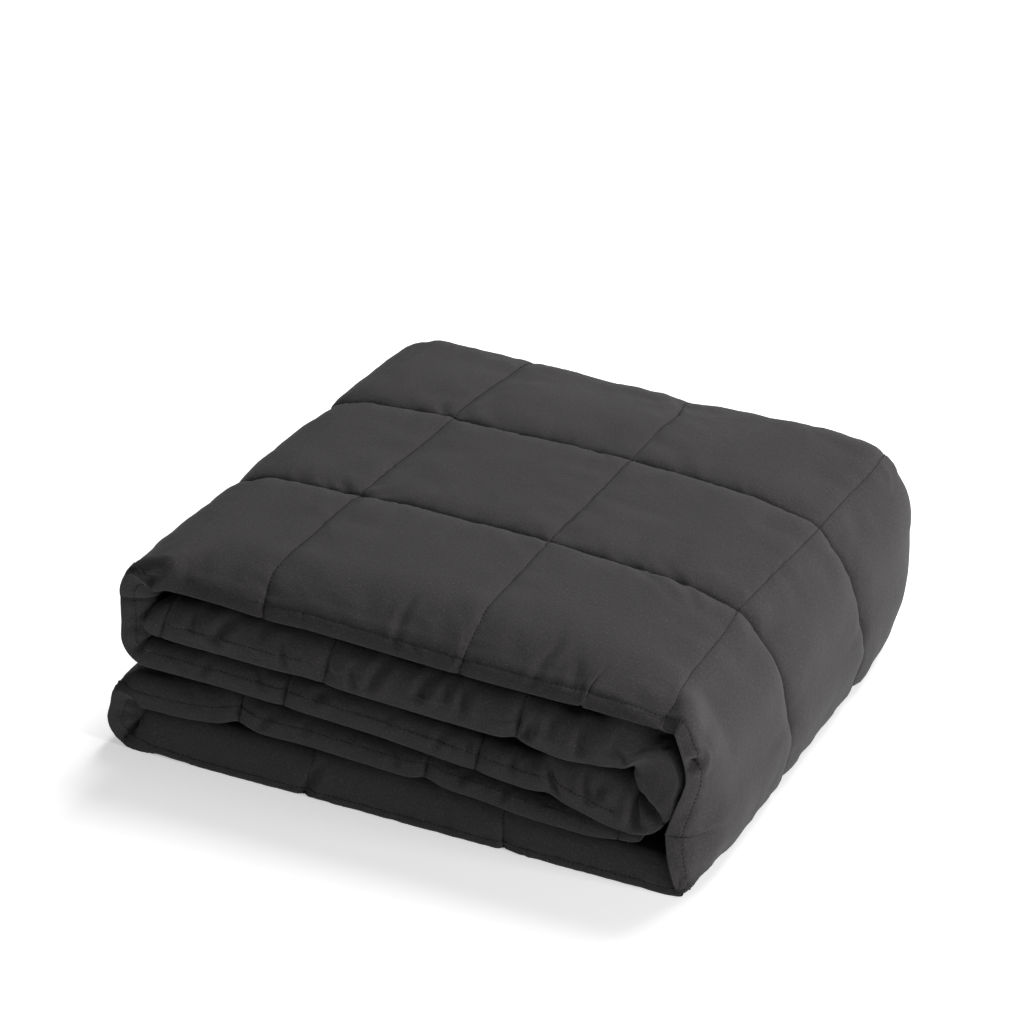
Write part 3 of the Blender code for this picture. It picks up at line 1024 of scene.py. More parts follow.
    @staticmethod
    def beside(spots: list[np.ndarray], u: np.ndarray, v: np.ndarray) -> tuple[np.ndarray, np.ndarray]:
        """How places lie beside a crease.

        Args:
            spots: the crease's own points.
            u: the places' distances along the strip.
            v: their distances over the cloth from the hem's edge.

        Returns:
            Their distances from the crease, and how far on along it they are, from 0 to 1.
        """
        best = np.full_like(v, 1.0)
        share = np.zeros_like(v)
        for index, (start, end) in enumerate(zip(spots, spots[1:])):
            line = end - start
            t = np.clip(((u - start[0]) * line[0] + (v - start[1]) * line[1]) / (line @ line), 0.0, 1.0)
            gap = np.hypot(u - start[0] - t * line[0], v - start[1] - t * line[1])
            share = np.where(gap < best, (index + t) / (len(spots) - 1), share)
            best = np.minimum(gap, best)
        return best, share


@dataclass(frozen=True)
class Drift:
    """How far the stitch lines stray from their straight places.

    Attributes:
        wander: how far they wander.
        grain: distance over which they do.
        window: how far from a line the cloth follows it.
        jog: step of the second row where it crosses the top layer's left seam.
        jog_width: distance over which it steps.
        jog_reach: how far from that seam the step is felt.
        left_curve: how far the first row curves to the front at the top's left edge.
        left_place: where on the top layer it does so most.
        left_reach: how far from there it still does.
        free_lean: how far the upper free end leans.
        free_width: distance beside the free end's stitching over which the cloth takes that up.
        lean_height: distance over the cloth from the hem's edge that the seams lean over.
        hem_steady: distance from the hem's edge over which the seams' wandering grows.
        seam_seed: the first seam's random wandering; each next one adds one.
        row_seed: the same for the rows.
    """

    wander: float = 0.0012
    grain: float = 0.045
    window: float = 0.055
    jog: float = 0.0030
    jog_width: float = 0.012
    jog_reach: float = 0.06
    left_curve: float = 0.008
    left_place: float = 0.022
    left_reach: float = 0.020
    free_lean: float = 0.015
    free_width: float = 0.02
    lean_height: float = 0.030
    hem_steady: float = 0.03
    seam_seed: int = 70
    row_seed: int = 90

    def weights(self, distance: np.ndarray) -> np.ndarray:
        """How closely the cloth follows a line at a distance from it."""
        return 1.0 - smooth(np.abs(distance) / self.window)

    def shift(self, along: np.ndarray, depth: np.ndarray, edge: np.ndarray) -> tuple[np.ndarray, np.ndarray]:
        """How far the points of a face move.

        Args:
            along: distances along the strip, one for each ring.
            depth: distances from the hem's stitching towards the back.
            edge: distances over the cloth from the hem's edge.

        Returns:
            The moves along the strip and towards the back.
        """
        middle = depth.mean(axis=0)
        by_seam = np.zeros_like(depth)
        rise = 0.5 - np.clip(edge / self.lean_height, 0.0, 1.0)
        for index, seam in enumerate(SEAMS):
            weight = self.weights(along - seam.along)[:, None]
            wander = self.wander * Noise(self.seam_seed + index, self.grain).line(middle)[None, :]
            bow = np.interp(middle, (0.0, *ROWS), (0.0, *seam.bow))[None, :]
            bow = bow + seam.hem * (1.0 - smooth((middle + HEM) / FRONT_BLEND))[None, :]
            front = 1.0 - smooth(np.maximum(edge - self.lean_height, 0.0) / self.window)
            by_seam += weight * (wander * smooth(edge / self.hem_steady) + bow - seam.lean * rise * front)
        free = smooth((along - SEAM_PLACES[-1] + self.free_width / 2) / self.free_width)[:, None]
        front = 1.0 - smooth((edge - self.lean_height) / self.window)
        by_seam -= free * self.free_lean * (0.5 - rise) * front
        by_row = np.zeros_like(depth)
        from_seam = along - seam_along("top layer, left")
        step = smooth((from_seam + self.jog_width / 2) / self.jog_width) - 0.5
        jog = self.jog * step * np.exp(-(from_seam / self.jog_reach) ** 2)
        from_left = (along - TOP_LAYER.along(self.left_place)) / self.left_reach
        for index, (row, own) in enumerate(zip(ROWS, (-self.left_curve * np.exp(-from_left ** 2), jog))):
            wander = self.wander * Noise(self.row_seed + index, self.grain).line(along) + own
            by_row += wander[:, None] * self.weights(middle - row)[None, :]
        return by_seam, by_row


@dataclass(frozen=True)
class Grids:
    """The points of the two faces, in rows from ring to ring.

    Attributes:
        along: each ring's distance along the strip.
        whole: whether each ring goes on to the back.
        outer: the outer face's points.
        inner: the inner face's points.
    """

    along: np.ndarray
    whole: np.ndarray
    outer: np.ndarray
    inner: np.ndarray


def quads(index: np.ndarray) -> list[list[int]]:
    """The faces between neighbouring rings of a grid of point numbers."""
    corners = (index[:-1, :-1], index[:-1, 1:], index[1:, 1:], index[1:, :-1])
    return np.stack(corners, axis=-1).reshape(-1, 4).tolist()


@dataclass(frozen=True)
class Blanket:
    """The folded cloth, as one closed padded shell.

    The front edge has fine rings of points. Behind it only some of them go on to the back, and all of
    them do on the top and the right wall, which show.

    Attributes:
        strip: the line it follows.
        quilting: its stitch lines and wrinkles.
        drift: how its stitch lines stray.
        fine: the step between rings at the front edge.
        coarse: the step between those that go on to the back, away from the top and the wall.
        turn: the largest angle the line may turn through between rings.
        shown: distances along the strip between which every ring goes on to the back.
        looser: how much more the line may turn between the rings that go on.
        ready: share of the step between those after which the next ring goes on.
        short_gap: seams nearer to each other than this have fewer rings beside them.
        near_seam: distances from a seam that get a ring.
        near_row: distances from a row that get points on the outer face.
        near_row_inside: the same on the inner face.
        inner_depths: depths between the rows that get points on the inner face, which is hidden.
        near_hem: distances over the cloth from the hem's edge that get points.
        face_start: the first depth behind the front stretch that gets points.
        face_spare: how far in front of the rounded back the last of them lies.
        joining: how many points join the front stretch to that depth.
        face_step: the largest step between points on the outer face.
        tuck_points: points that the tucked part of the hem's curve is worked out at.
        arc_points: the same for the part where it rises.
        back_points: points round each half of the fold at the back.
        sink_limit: the furthest that a stitch line sinks, as a share of half the thickness.
        edge_calm: distance from the hem's edge over which the relief grows.
        end_calm: the same from a free end.
        end_relief: share of the relief left at a free end.
        end_drift: distance from a free end over which the seams' straying grows.
        least_drift: how far it has grown at the very end; 1 is all of it.
        lift_depth: depth at which a lifted hem has settled.
    """

    strip: FoldedStrip
    quilting: Quilting
    drift: Drift = Drift()
    fine: float = 0.0027
    coarse: float = 0.0075
    turn: float = math.radians(9)
    shown: tuple[float, float] = (0.775, 1.275)
    looser: float = 1.3
    ready: float = 0.85
    short_gap: float = 0.05
    near_seam: tuple[float, ...] = (0.0, 0.0008, 0.0020, 0.0042)
    near_row: tuple[float, ...] = (0.0, 0.0008, 0.0018, 0.0034, 0.0058, 0.009, 0.0135)
    near_row_inside: tuple[float, ...] = (-0.008, -0.002, 0.0, 0.002, 0.008)
    inner_depths: tuple[float, ...] = (0.08, 0.10, 0.155, 0.18, 0.205, 0.228, 0.285, 0.315)
    near_hem: tuple[float, ...] = (
        0.0008, 0.0020, 0.0036, 0.0052, 0.0068, 0.0082, 0.0092, 0.0100, 0.0108, 0.0118, 0.0134, 0.0152,
        0.0172, 0.0194, 0.0216, 0.0240, 0.0265, 0.0292, 0.0320, 0.0355, 0.0395, 0.0440, 0.0500,
    )
    face_start: float = 0.060
    face_spare: float = 0.002
    joining: int = 4
    face_step: float = 0.0056
    tuck_points: int = 7
    arc_points: int = 48
    back_points: int = 8
    sink_limit: float = 0.78
    edge_calm: float = 0.006
    end_calm: float = 0.012
    end_relief: float = 0.2
    end_drift: float = 0.02
    least_drift: float = 0.4
    lift_depth: float = 0.045

    def rings(self) -> tuple[np.ndarray, np.ndarray]:
        """Distances along the strip that get a ring.

        Returns:
            The distances, and for each whether its ring goes on to the back.
        """
        strip = self.strip
        shown = (strip.along[:-1] > self.shown[0]) & (strip.along[:-1] < self.shown[1])
        step, angle = strip.along[1], strip.turning()
        fine = np.concatenate(([0.0], np.cumsum(np.maximum(step / self.fine, angle / self.turn))))
        going_on = np.maximum(step / self.coarse, angle / (self.looser * self.turn))
        wide = np.concatenate(([0.0], np.cumsum(np.where(shown, EVERY_RING, going_on))))
        marks: dict[float, bool] = {}
        stops = [0.0, *SEAM_PLACES, strip.length]
        for start, stop in zip(stops, stops[1:]):
            offsets = self.near_seam if stop - start > self.short_gap else self.near_seam[:3]
            for offset in offsets:
                marks[round(start + offset, 6)] = marks[round(stop - offset, 6)] = True
            low, high = np.interp([start + offsets[-1], stop - offsets[-1]], strip.along, fine)
            steps = np.linspace(low, high, max(1, round(high - low)) + 1)[1:-1]
            between = np.interp(steps, fine, strip.along)
            last = np.interp(start + offsets[-1], strip.along, wide)
            for place in between:
                here = np.interp(place, strip.along, wide)
                keep = here - last >= self.ready
                last = here if keep else last
                marks[round(float(place), 6)] = bool(keep)
        along = np.array(sorted(marks))
        whole = np.array([marks[m] for m in along])
        whole[[0, -1]] = True
        return along, whole

    def profile(self, along: np.ndarray, face: Face) -> dict[str, np.ndarray]:
        """One face's section from the hem's edge to the back, for each place along the strip.

        Args:
            along: distances along the strip.
            face: which face.

        Returns:
            Arrays with a row for each place: depth, height, edge (distance over the cloth from the
            hem's edge) and normal (depth and height parts).
        """
        value = self.strip.value
        end = np.minimum(along, self.strip.length - along)
        share = END_SHARE + (1 - END_SHARE) * np.sqrt(1 - (1 - np.clip(end / END_ROUND, 0, 1)) ** 2)
        inner = face is Face.INNER
        half = value("half inside" if inner else "half", along) * share
        full = value("front inside" if inner else "front outer", along) * share
        lean = value("nose", along)
        reach = np.where(lean > 0, value("front inside", along), value("front outer", along)) * share
        nose = face.value * lean * reach
        depth, height = self.front_stretch(along, inner, nose, full)
        stations = self.face_stations(face) + HEM
        swing = np.linspace(math.pi / 2, 0.0, self.back_points + 1)[:-1]
        behind = np.concatenate((stations, DEPTH + HEM - BACK_ROUND + BACK_ROUND * np.cos(swing)))
        fullness = np.concatenate((np.ones(len(stations)), np.sin(swing)))
        depth = np.concatenate((depth, np.tile(behind, (len(along), 1))), axis=1)
        height = np.concatenate((height, full[:, None] * fullness), axis=1)
        fade = smooth((depth - HEM) / FRONT_BLEND)
        risen = np.clip((height - nose[:, None]) / np.maximum(full - nose, 1e-5)[:, None], 0.0, 1.0)
        height = height + (half - full)[:, None] * fade * risen
        slope_depth, slope_height = np.gradient(depth, axis=1), np.gradient(height, axis=1)
        slope = np.hypot(slope_depth, slope_height)
        slope_depth, slope_height = slope_depth / slope, slope_height / slope
        slope_depth[:, 0], slope_height[:, 0] = 0.0, 1.0
        return {
            "depth": depth - HEM, "height": height, "edge": paced(depth, height),
            "normal": np.stack((-slope_height, slope_depth), axis=-1),
        }

    def front_stretch(
        self, along: np.ndarray, inner: bool, nose: np.ndarray, full: np.ndarray,
    ) -> tuple[np.ndarray, np.ndarray]:
        """The front of one face's section, where it rises from the hem's edge.

        Args:
            along: distances along the strip.
            inner: whether it is the inner face.
            nose: the height of the hem's edge.
            full: the height that the face rises to.

        Returns:
            Its depths and its heights, with a row for each place.
        """
        value = self.strip.value
        rise = value("inner" if inner else "outer", along)[:, None]
        tuck = value("tuck", along)[:, None]
        ahead = tuck if inner else np.zeros_like(tuck)
        tucked = np.linspace(0.0, 1.0, self.tuck_points + 1)[:-1]
        swing = np.linspace(0.0, math.pi / 2, self.arc_points)
        arc_depth = tuck - np.concatenate((ahead * tucked, ahead - rise * (1 - np.cos(swing))), axis=1)
        risen = np.concatenate((np.zeros_like(tucked), np.sin(swing)))
        arc_height = nose[:, None] + (full - nose)[:, None] * risen
        arc_edge = paced(arc_depth, arc_height)
        for row, flat in enumerate(value("flat", along)):
            self.flatten_band(arc_depth[row], arc_height[row], arc_edge[row], flat)
        near = np.array((0.0, *self.near_hem))
        start = arc_edge[:, -1:] + self.face_start + HEM - arc_depth[:, -1:]
        joining = near[-1] + (start - near[-1]) * np.linspace(0.0, 1.0, self.joining + 1)[1:]
        edge = np.concatenate((np.tile(near, (len(along), 1)), joining), axis=1)
        depth, height = np.empty_like(edge), np.empty_like(edge)
        for row, places in enumerate(edge):
            depth[row] = np.interp(places, arc_edge[row], arc_depth[row])
            height[row] = np.interp(places, arc_edge[row], arc_height[row])
        return depth + np.maximum(0.0, edge - arc_edge[:, -1:]), height

    @staticmethod
    def flatten_band(depth: np.ndarray, height: np.ndarray, edge: np.ndarray, flat: float) -> None:
        """Takes the curve out of the hem, between its edge and its stitching.

        Args:
            depth: the section's depths, changed in place.
            height: its heights, changed in place.
            edge: distances along it from the hem's edge.
            flat: the share of the curve to take out.
        """
        band = edge < HEM
        share = edge[band] / HEM
        for values in (depth, height):
            end = np.interp(HEM, edge, values)
            values[band] += flat * (values[0] + (end - values[0]) * share - values[band])

    def front_count(self) -> int:
        """How many stations of each face have fine rings."""
        return 1 + len(self.near_hem) + self.joining

    def face_stations(self, face: Face) -> np.ndarray:
        """Depths that get points behind the front edge."""
        end = DEPTH - BACK_ROUND - self.face_spare
        if face is Face.INNER:
            rows = [row + step for row in ROWS for step in self.near_row_inside]
            return np.array(sorted([*rows, *self.inner_depths, end]))
        near = [row + sign * step for row in ROWS for step in self.near_row for sign in (-1, 1)]
        marks = [self.face_start] + sorted(set(near)) + [end]
        filled: list[float] = []
        for start, stop in zip(marks, marks[1:]):
            steps = max(1, round((stop - start) / self.face_step))
            filled += list(np.linspace(start, stop, steps + 1)[1:])
        return np.array(filled)

    def face_points(self, along: np.ndarray, face: Face) -> tuple[np.ndarray, np.ndarray]:
        """The points of one face.

        Args:
            along: distances along the strip.
            face: which face.

        Returns:
            The points, and each one's distance over the cloth from the hem's edge.
        """
        section = self.profile(along, face)
        depth, height, edge = section["depth"], section["height"], section["edge"]
        sewn = self.strip.value("sewn", along)[:, None]
        half = self.strip.value("half", along)[:, None]
        sink = np.minimum(self.quilting.sink(along, depth, edge, sewn), self.sink_limit * half)
        ends = np.minimum(along, self.strip.length - along)
        awake = self.end_relief + (1.0 - self.end_relief) * smooth(ends / self.end_calm)
        calm = smooth(edge / self.edge_calm) * awake[:, None]
        push = self.quilting.stands(along, depth, edge, face) * calm - sink
        by_seam, by_row = self.drift.shift(along, depth, edge)
        where = along[:, None] + by_seam * smooth(ends / self.end_drift + self.least_drift)[:, None]
        depth = depth + push * section["normal"][..., 0] + by_row
        height = height + push * section["normal"][..., 1]
        line = self.strip.at(where, depth)
        x = line[..., 0] + face.value * height * line[..., 2]
        z = line[..., 1] + face.value * height * line[..., 3]
        z += self.lifted(along)[:, None] * (1.0 - smooth((depth + HEM) / self.lift_depth))
        rear = 1.0 - smooth((DEPTH - depth) / BACK_BLEND)
        x = LEFT_SIDE + (x - LEFT_SIDE) * (1.0 - FAR_NARROWING * rear ** 2)
        z = np.maximum(0.0, z - FLOOR_SINK)
        return np.stack((x - DRAWING_MIDDLE[0], depth - DRAWING_MIDDLE[1], z), axis=-1), edge

    @staticmethod
    def lifted(along: np.ndarray) -> np.ndarray:
        """How far the hem rides up at each ring."""
        return sum(
            lift.up * np.exp(-((along - lift.run.along(lift.place)) / lift.width) ** 2) for lift in LIFTS)

    def build(self) -> tuple[bpy.types.Object, Grids]:
        """The whole shell.

        Returns:
            Its object, and the grids that the stitching reads.
        """
        along, whole = self.rings()
        outer, outer_edge = self.face_points(along, Face.OUTER)
        inner, inner_edge = self.face_points(along, Face.INNER)
        back = self.back_line(along)
        front = self.front_count()
        length = outer_edge[:, -1:] + BACK_ARC
        inner_far = length + BACK_ARC + (inner_edge[:, -1:] - inner_edge)
        band = np.concatenate((inner[:, front - 1:0:-1], outer[:, :front]), axis=1)
        band_edge = np.concatenate(
            (inner_far[:, front - 1:0:-1] - BAND_APART, outer_edge[:, :front]), axis=1)
        rear = np.concatenate((outer[:, front:], back[:, None], inner[:, :front - 1:-1]), axis=1)[whole]
        rear_edge = np.concatenate(
            (outer_edge[:, front:], length, inner_far[:, :front - 1:-1]), axis=1)[whole]
        shell = self.shell(along, np.flatnonzero(whole), (band, rear), (band_edge, rear_edge))
        LOG.info("blanket: %d rings, %d of them to the back", len(along), whole.sum())
        LOG.info("blanket: %d and %d points on a ring", band.shape[1], rear.shape[1])
        return shell, Grids(along, whole, outer, inner)

    def back_line(self, along: np.ndarray) -> np.ndarray:
        """The points at the very back of the fold."""
        depth = np.full(len(along), DEPTH)
        line = self.strip.at(along, depth)
        x = LEFT_SIDE + (line[:, 0] - LEFT_SIDE) * (1.0 - FAR_NARROWING)
        z = np.maximum(0.0, line[:, 1] - FLOOR_SINK)
        return np.stack((x - DRAWING_MIDDLE[0], depth - DRAWING_MIDDLE[1], z), axis=-1)

    @staticmethod
    def shell(
        along: np.ndarray, whole: np.ndarray, parts: tuple[np.ndarray, np.ndarray],
        edges: tuple[np.ndarray, np.ndarray],
    ) -> bpy.types.Object:
        """Bridges the rings into one closed mesh, with a UV map in metres over the cloth.

        Args:
            along: each ring's distance along the strip.
            whole: which of the rings go on to the back.
            parts: the points of the front edge, ring by ring, and those behind it.
            edges: their distances over the cloth, from the hem's edge round to it again.

        Returns:
            The object.
        """
        band, rear = parts
        front = np.arange(band.shape[0] * band.shape[1]).reshape(band.shape[:2])
        behind = np.arange(rear.shape[0] * rear.shape[1]).reshape(rear.shape[:2]) + front.size
        faces = quads(front) + quads(behind)
        for step, (start, stop) in enumerate(zip(whole, whole[1:])):
            near, far = behind[step], behind[step + 1]
            faces.append([int(near[0]), int(far[0]), *front[start:stop + 1, -1][::-1].tolist()])
            faces.append([int(far[-1]), int(near[-1]), *front[start:stop + 1, 0].tolist()])
        faces.append([*behind[0][::-1].tolist(), *front[0][::-1].tolist()])
        faces.append([*front[-1].tolist(), *behind[-1].tolist()])
        mesh = bpy.data.meshes.new("blanket_cloth")
        mesh.from_pydata(np.concatenate((band.reshape(-1, 3), rear.reshape(-1, 3))).tolist(), [], faces)
        place = np.concatenate((
            np.stack((np.repeat(along[:, None], band.shape[1], 1), edges[0]), -1).reshape(-1, 2),
            np.stack((np.repeat(along[whole][:, None], rear.shape[1], 1), edges[1]), -1).reshape(-1, 2),
        ))
        corner = np.empty(len(mesh.loops), dtype=np.int32)
        mesh.loops.foreach_get("vertex_index", corner)
        layer = mesh.uv_layers.new(name="cloth")
        layer.data.foreach_set("uv", place[corner].ravel())
        mesh.validate()
        mesh.shade_smooth()
        mesh.update()
        return placed("blanket_cloth", mesh)


Socket = bpy.types.NodeSocket
MIX_FIRST, MIX_SECOND, MIX_RESULT = 6, 7, 2    # colour sockets, whose names the mix node uses twice
NOISE_RANGE = (0.3, 0.7)                       # where nearly all of a noise's values lie


class Nodes:
    """A node tree that is laid out in code."""

    def __init__(self, tree: bpy.types.NodeTree) -> None:
        """Keeps the tree."""
        self.tree = tree

    def add(
        self, kind: str, values: dict[str | int, object] | None = None, **settings: object,
    ) -> bpy.types.Node:
        """One node.

        Args:
            kind: its Blender type.
            values: what its inputs hold, or the sockets they are fed by.
            settings: its own properties.

        Returns:
            The node.
        """
        node = self.tree.nodes.new(kind)
        for name, setting in settings.items():
            setattr(node, name, setting)
        self.fill(node, values or {})
        return node

    def fill(self, node: bpy.types.Node, values: dict[str | int, object]) -> None:
        """Gives a node's inputs their values, or feeds them from other sockets."""
        for name, value in values.items():
            if isinstance(value, Socket):
                self.tree.links.new(value, node.inputs[name])
            else:
                node.inputs[name].default_value = value

    def maths(self, kind: str, first: object, second: object) -> Socket:
        """Two values added, multiplied or the like."""
        return self.add("ShaderNodeMath", {0: first, 1: second}, operation=kind).outputs[0]

    def ramp(self, value: Socket, source: tuple[float, float], target: tuple[float, float]) -> Socket:
        """A value taken from one range to another.

        Args:
            value: the socket that carries it.
            source: the range it comes from.
            target: the range it goes to.

        Returns:
            The socket that carries the result.
        """
        made = self.add("ShaderNodeMapRange", {
            "Value": value, "From Min": source[0], "From Max": source[1],
            "To Min": target[0], "To Max": target[1],
        })
        return made.outputs["Result"]

    def grain(self, place: Socket, size: tuple[float, float], detail: float = 1.0) -> Socket:
        """Noise whose grain has a size along each way of the cloth.

        Args:
            place: the place on the cloth.
            size: the grain's sizes in metres.
            detail: how much finer noise is laid over it.

        Returns:
            The socket that carries the noise.
        """
        scaled = self.add("ShaderNodeMapping", {"Vector": place, "Scale": (1 / size[0], 1 / size[1], 1.0)})
        noise = self.add("ShaderNodeTexNoise", {
            "Vector": scaled.outputs[0], "Scale": 1.0, "Detail": detail, "Roughness": 0.6,
        }, noise_dimensions="2D")
        return noise.outputs["Fac"]


def new_material(name: str) -> tuple[bpy.types.Material, Nodes, bpy.types.Node]:
    """An empty node material, its tree and its shader."""
    material = bpy.data.materials.new(name)
    material.use_nodes = True
    return material, Nodes(material.node_tree), material.node_tree.nodes["Principled BSDF"]


@dataclass(frozen=True)
class CottonFinish:
    """Charcoal plain weave cotton, brushed and a little linty.

    Attributes:
        colour: the cloth's own colour.
        light: the colour of its paler threads and lint.
        pale: share of that colour everywhere.
        rough: its roughness.
        sheen: how strongly its fuzz catches the light.
        sheen_rough: how widely it does.
        shine: how strongly the threads themselves reflect.
        pitch: distance between neighbouring threads.
        slub: length and thickness of the thicker stretches in a thread.
        cloud: size of the broad unevenness of the dye.
        mottle: size of the fine unevenness.
        lint: size of the pale specks.
        crumple: size of the smallest creases.
        weave_height: height of the weave.
        slub_height: how far the thicker stretches stand out.
        crumple_height: how deep the smallest creases are.
        bump: how strongly these heights tell.
    """

    colour: tuple[float, float, float] = (0.0282, 0.0260, 0.0274)
    light: tuple[float, float, float] = (0.067, 0.063, 0.066)
    pale: float = 0.12
    rough: float = 0.92
    sheen: float = 0.06
    sheen_rough: float = 0.5
    shine: float = 0.25
    pitch: float = 0.00055
    slub: tuple[float, float] = (0.0034, 0.00062)
    cloud: tuple[float, float] = (0.060, 0.050)
    mottle: tuple[float, float] = (0.0012, 0.0012)
    lint: tuple[float, float] = (0.0018, 0.0013)
    crumple: tuple[float, float] = (0.006, 0.005)
    weave_height: float = 0.00006
    slub_height: float = 0.00012
    crumple_height: float = 0.00018
    bump: float = 0.8

    def material(self) -> bpy.types.Material:
        """Builds the node material."""
        material, nodes, shader = new_material("charcoal_cotton")
        place = nodes.add("ShaderNodeUVMap", uv_map="cloth").outputs["UV"]
        threads = self.threads(nodes, place)
        nodes.fill(shader, {
            "Base Color": self.shade(nodes, place, threads),
            "Normal": self.relief(nodes, place, threads),
            "Roughness": nodes.ramp(threads, (0.2, 0.8), (self.rough - 0.06, self.rough + 0.05)),
            "Sheen Weight": self.sheen,
            "Sheen Roughness": self.sheen_rough,
            "Specular IOR Level": self.shine,
        })
        return material

    def threads(self, nodes: Nodes, place: Socket) -> Socket:
        """The thicker and thinner stretches of the threads both ways, from 0 to 1."""
        weft = nodes.ramp(nodes.grain(place, self.slub), NOISE_RANGE, (0.0, 0.5))
        warp = nodes.ramp(nodes.grain(place, self.slub[::-1]), NOISE_RANGE, (0.0, 0.5))
        return nodes.maths("ADD", weft, warp)

    def shade(self, nodes: Nodes, place: Socket, threads: Socket) -> Socket:
        """The colour, from the cloth's own to that of its paler threads and lint.

        Args:
            nodes: the material's tree.
            place: the place on the cloth.
            threads: the threads' thickness.

        Returns:
            The socket that carries it.
        """
        slubs = nodes.ramp(threads, (0.25, 0.8), (-0.13, 0.13))
        clouds = nodes.ramp(nodes.grain(place, self.cloud, 2.0), NOISE_RANGE, (-0.02, 0.03))
        dust = nodes.ramp(nodes.grain(place, self.mottle), NOISE_RANGE, (-0.13, 0.13))
        specks = nodes.ramp(nodes.grain(place, self.lint), (0.66, 0.76), (0.0, 0.45))
        share = nodes.maths("ADD", nodes.maths("ADD", slubs, clouds), nodes.maths("ADD", dust, specks))
        mix = nodes.add("ShaderNodeMix", {
            "Factor": nodes.maths("ADD", share, self.pale),
            MIX_FIRST: (*self.colour, 1.0), MIX_SECOND: (*self.light, 1.0),
        }, data_type="RGBA")
        return mix.outputs[MIX_RESULT]

    def relief(self, nodes: Nodes, place: Socket, threads: Socket) -> Socket:
        """The bump of the weave, the threads and the smallest creases.

        Args:
            nodes: the material's tree.
            place: the place on the cloth.
            threads: the threads' thickness.

        Returns:
            The socket that carries the normal.
        """
        weave = nodes.maths("MULTIPLY", self.weave(nodes, place), self.weave_height)
        height = nodes.maths("ADD", weave, nodes.maths("MULTIPLY", threads, self.slub_height))
        crumpled = nodes.maths("MULTIPLY", nodes.grain(place, self.crumple), self.crumple_height)
        height = nodes.maths("ADD", height, crumpled)
        bump = nodes.add("ShaderNodeBump", {"Height": height, "Distance": 1.0, "Strength": self.bump})
        return bump.outputs[0]

    def weave(self, nodes: Nodes, place: Socket) -> Socket:
        """The over and under of plain weave, as a height."""
        apart = nodes.add("ShaderNodeSeparateXYZ", {0: place})
        turns = math.pi / self.pitch
        across = nodes.maths("SINE", nodes.maths("MULTIPLY", apart.outputs[0], turns), 0.0)
        along = nodes.maths("SINE", nodes.maths("MULTIPLY", apart.outputs[1], turns), 0.0)
        return nodes.maths("MULTIPLY", across, along)


@dataclass(frozen=True)
class ThreadFinish:
    """Matt sewing thread, darker than the cloth; that darkness is partly the thread's own tone and partly
    painted shade of the grooves it sits in.

    Attributes:
        colour: its colour, darker than the cloth's: its own dark tone with the painted shade of the stitch
            grooves laid into it.
        rough: its roughness.
        shine: how strongly it reflects.
        fibres: how many of its fibres' light and dark stretches fit in a metre.
        dark: the darkest stretch, as a share of its colour.
        pale: the palest stretch.
    """

    # darker than the cloth: partly the thread's own tone, partly painted shade of the grooves the stitches
    # sit in
    colour: tuple[float, float, float] = (0.0175, 0.0163, 0.0170)
    rough: float = 0.75
    shine: float = 0.3
    fibres: float = 400.0
    dark: float = 0.7
    pale: float = 1.4

    def material(self) -> bpy.types.Material:
        """Builds the node material."""
        material, nodes, shader = new_material("charcoal_thread")
        place = nodes.add("ShaderNodeTexCoord").outputs["Object"]
        noise = nodes.add("ShaderNodeTexNoise", {"Vector": place, "Scale": self.fibres, "Detail": 2.0})
        shade = nodes.add("ShaderNodeValToRGB", {"Fac": noise.outputs["Fac"]})
        for element, share in zip(shade.color_ramp.elements, (self.dark, self.pale)):
            element.color = (*(share * c for c in self.colour), 1.0)
        nodes.fill(shader, {
            "Base Color": shade.outputs["Color"], "Roughness": self.rough, "Specular IOR Level": self.shine})
        return material


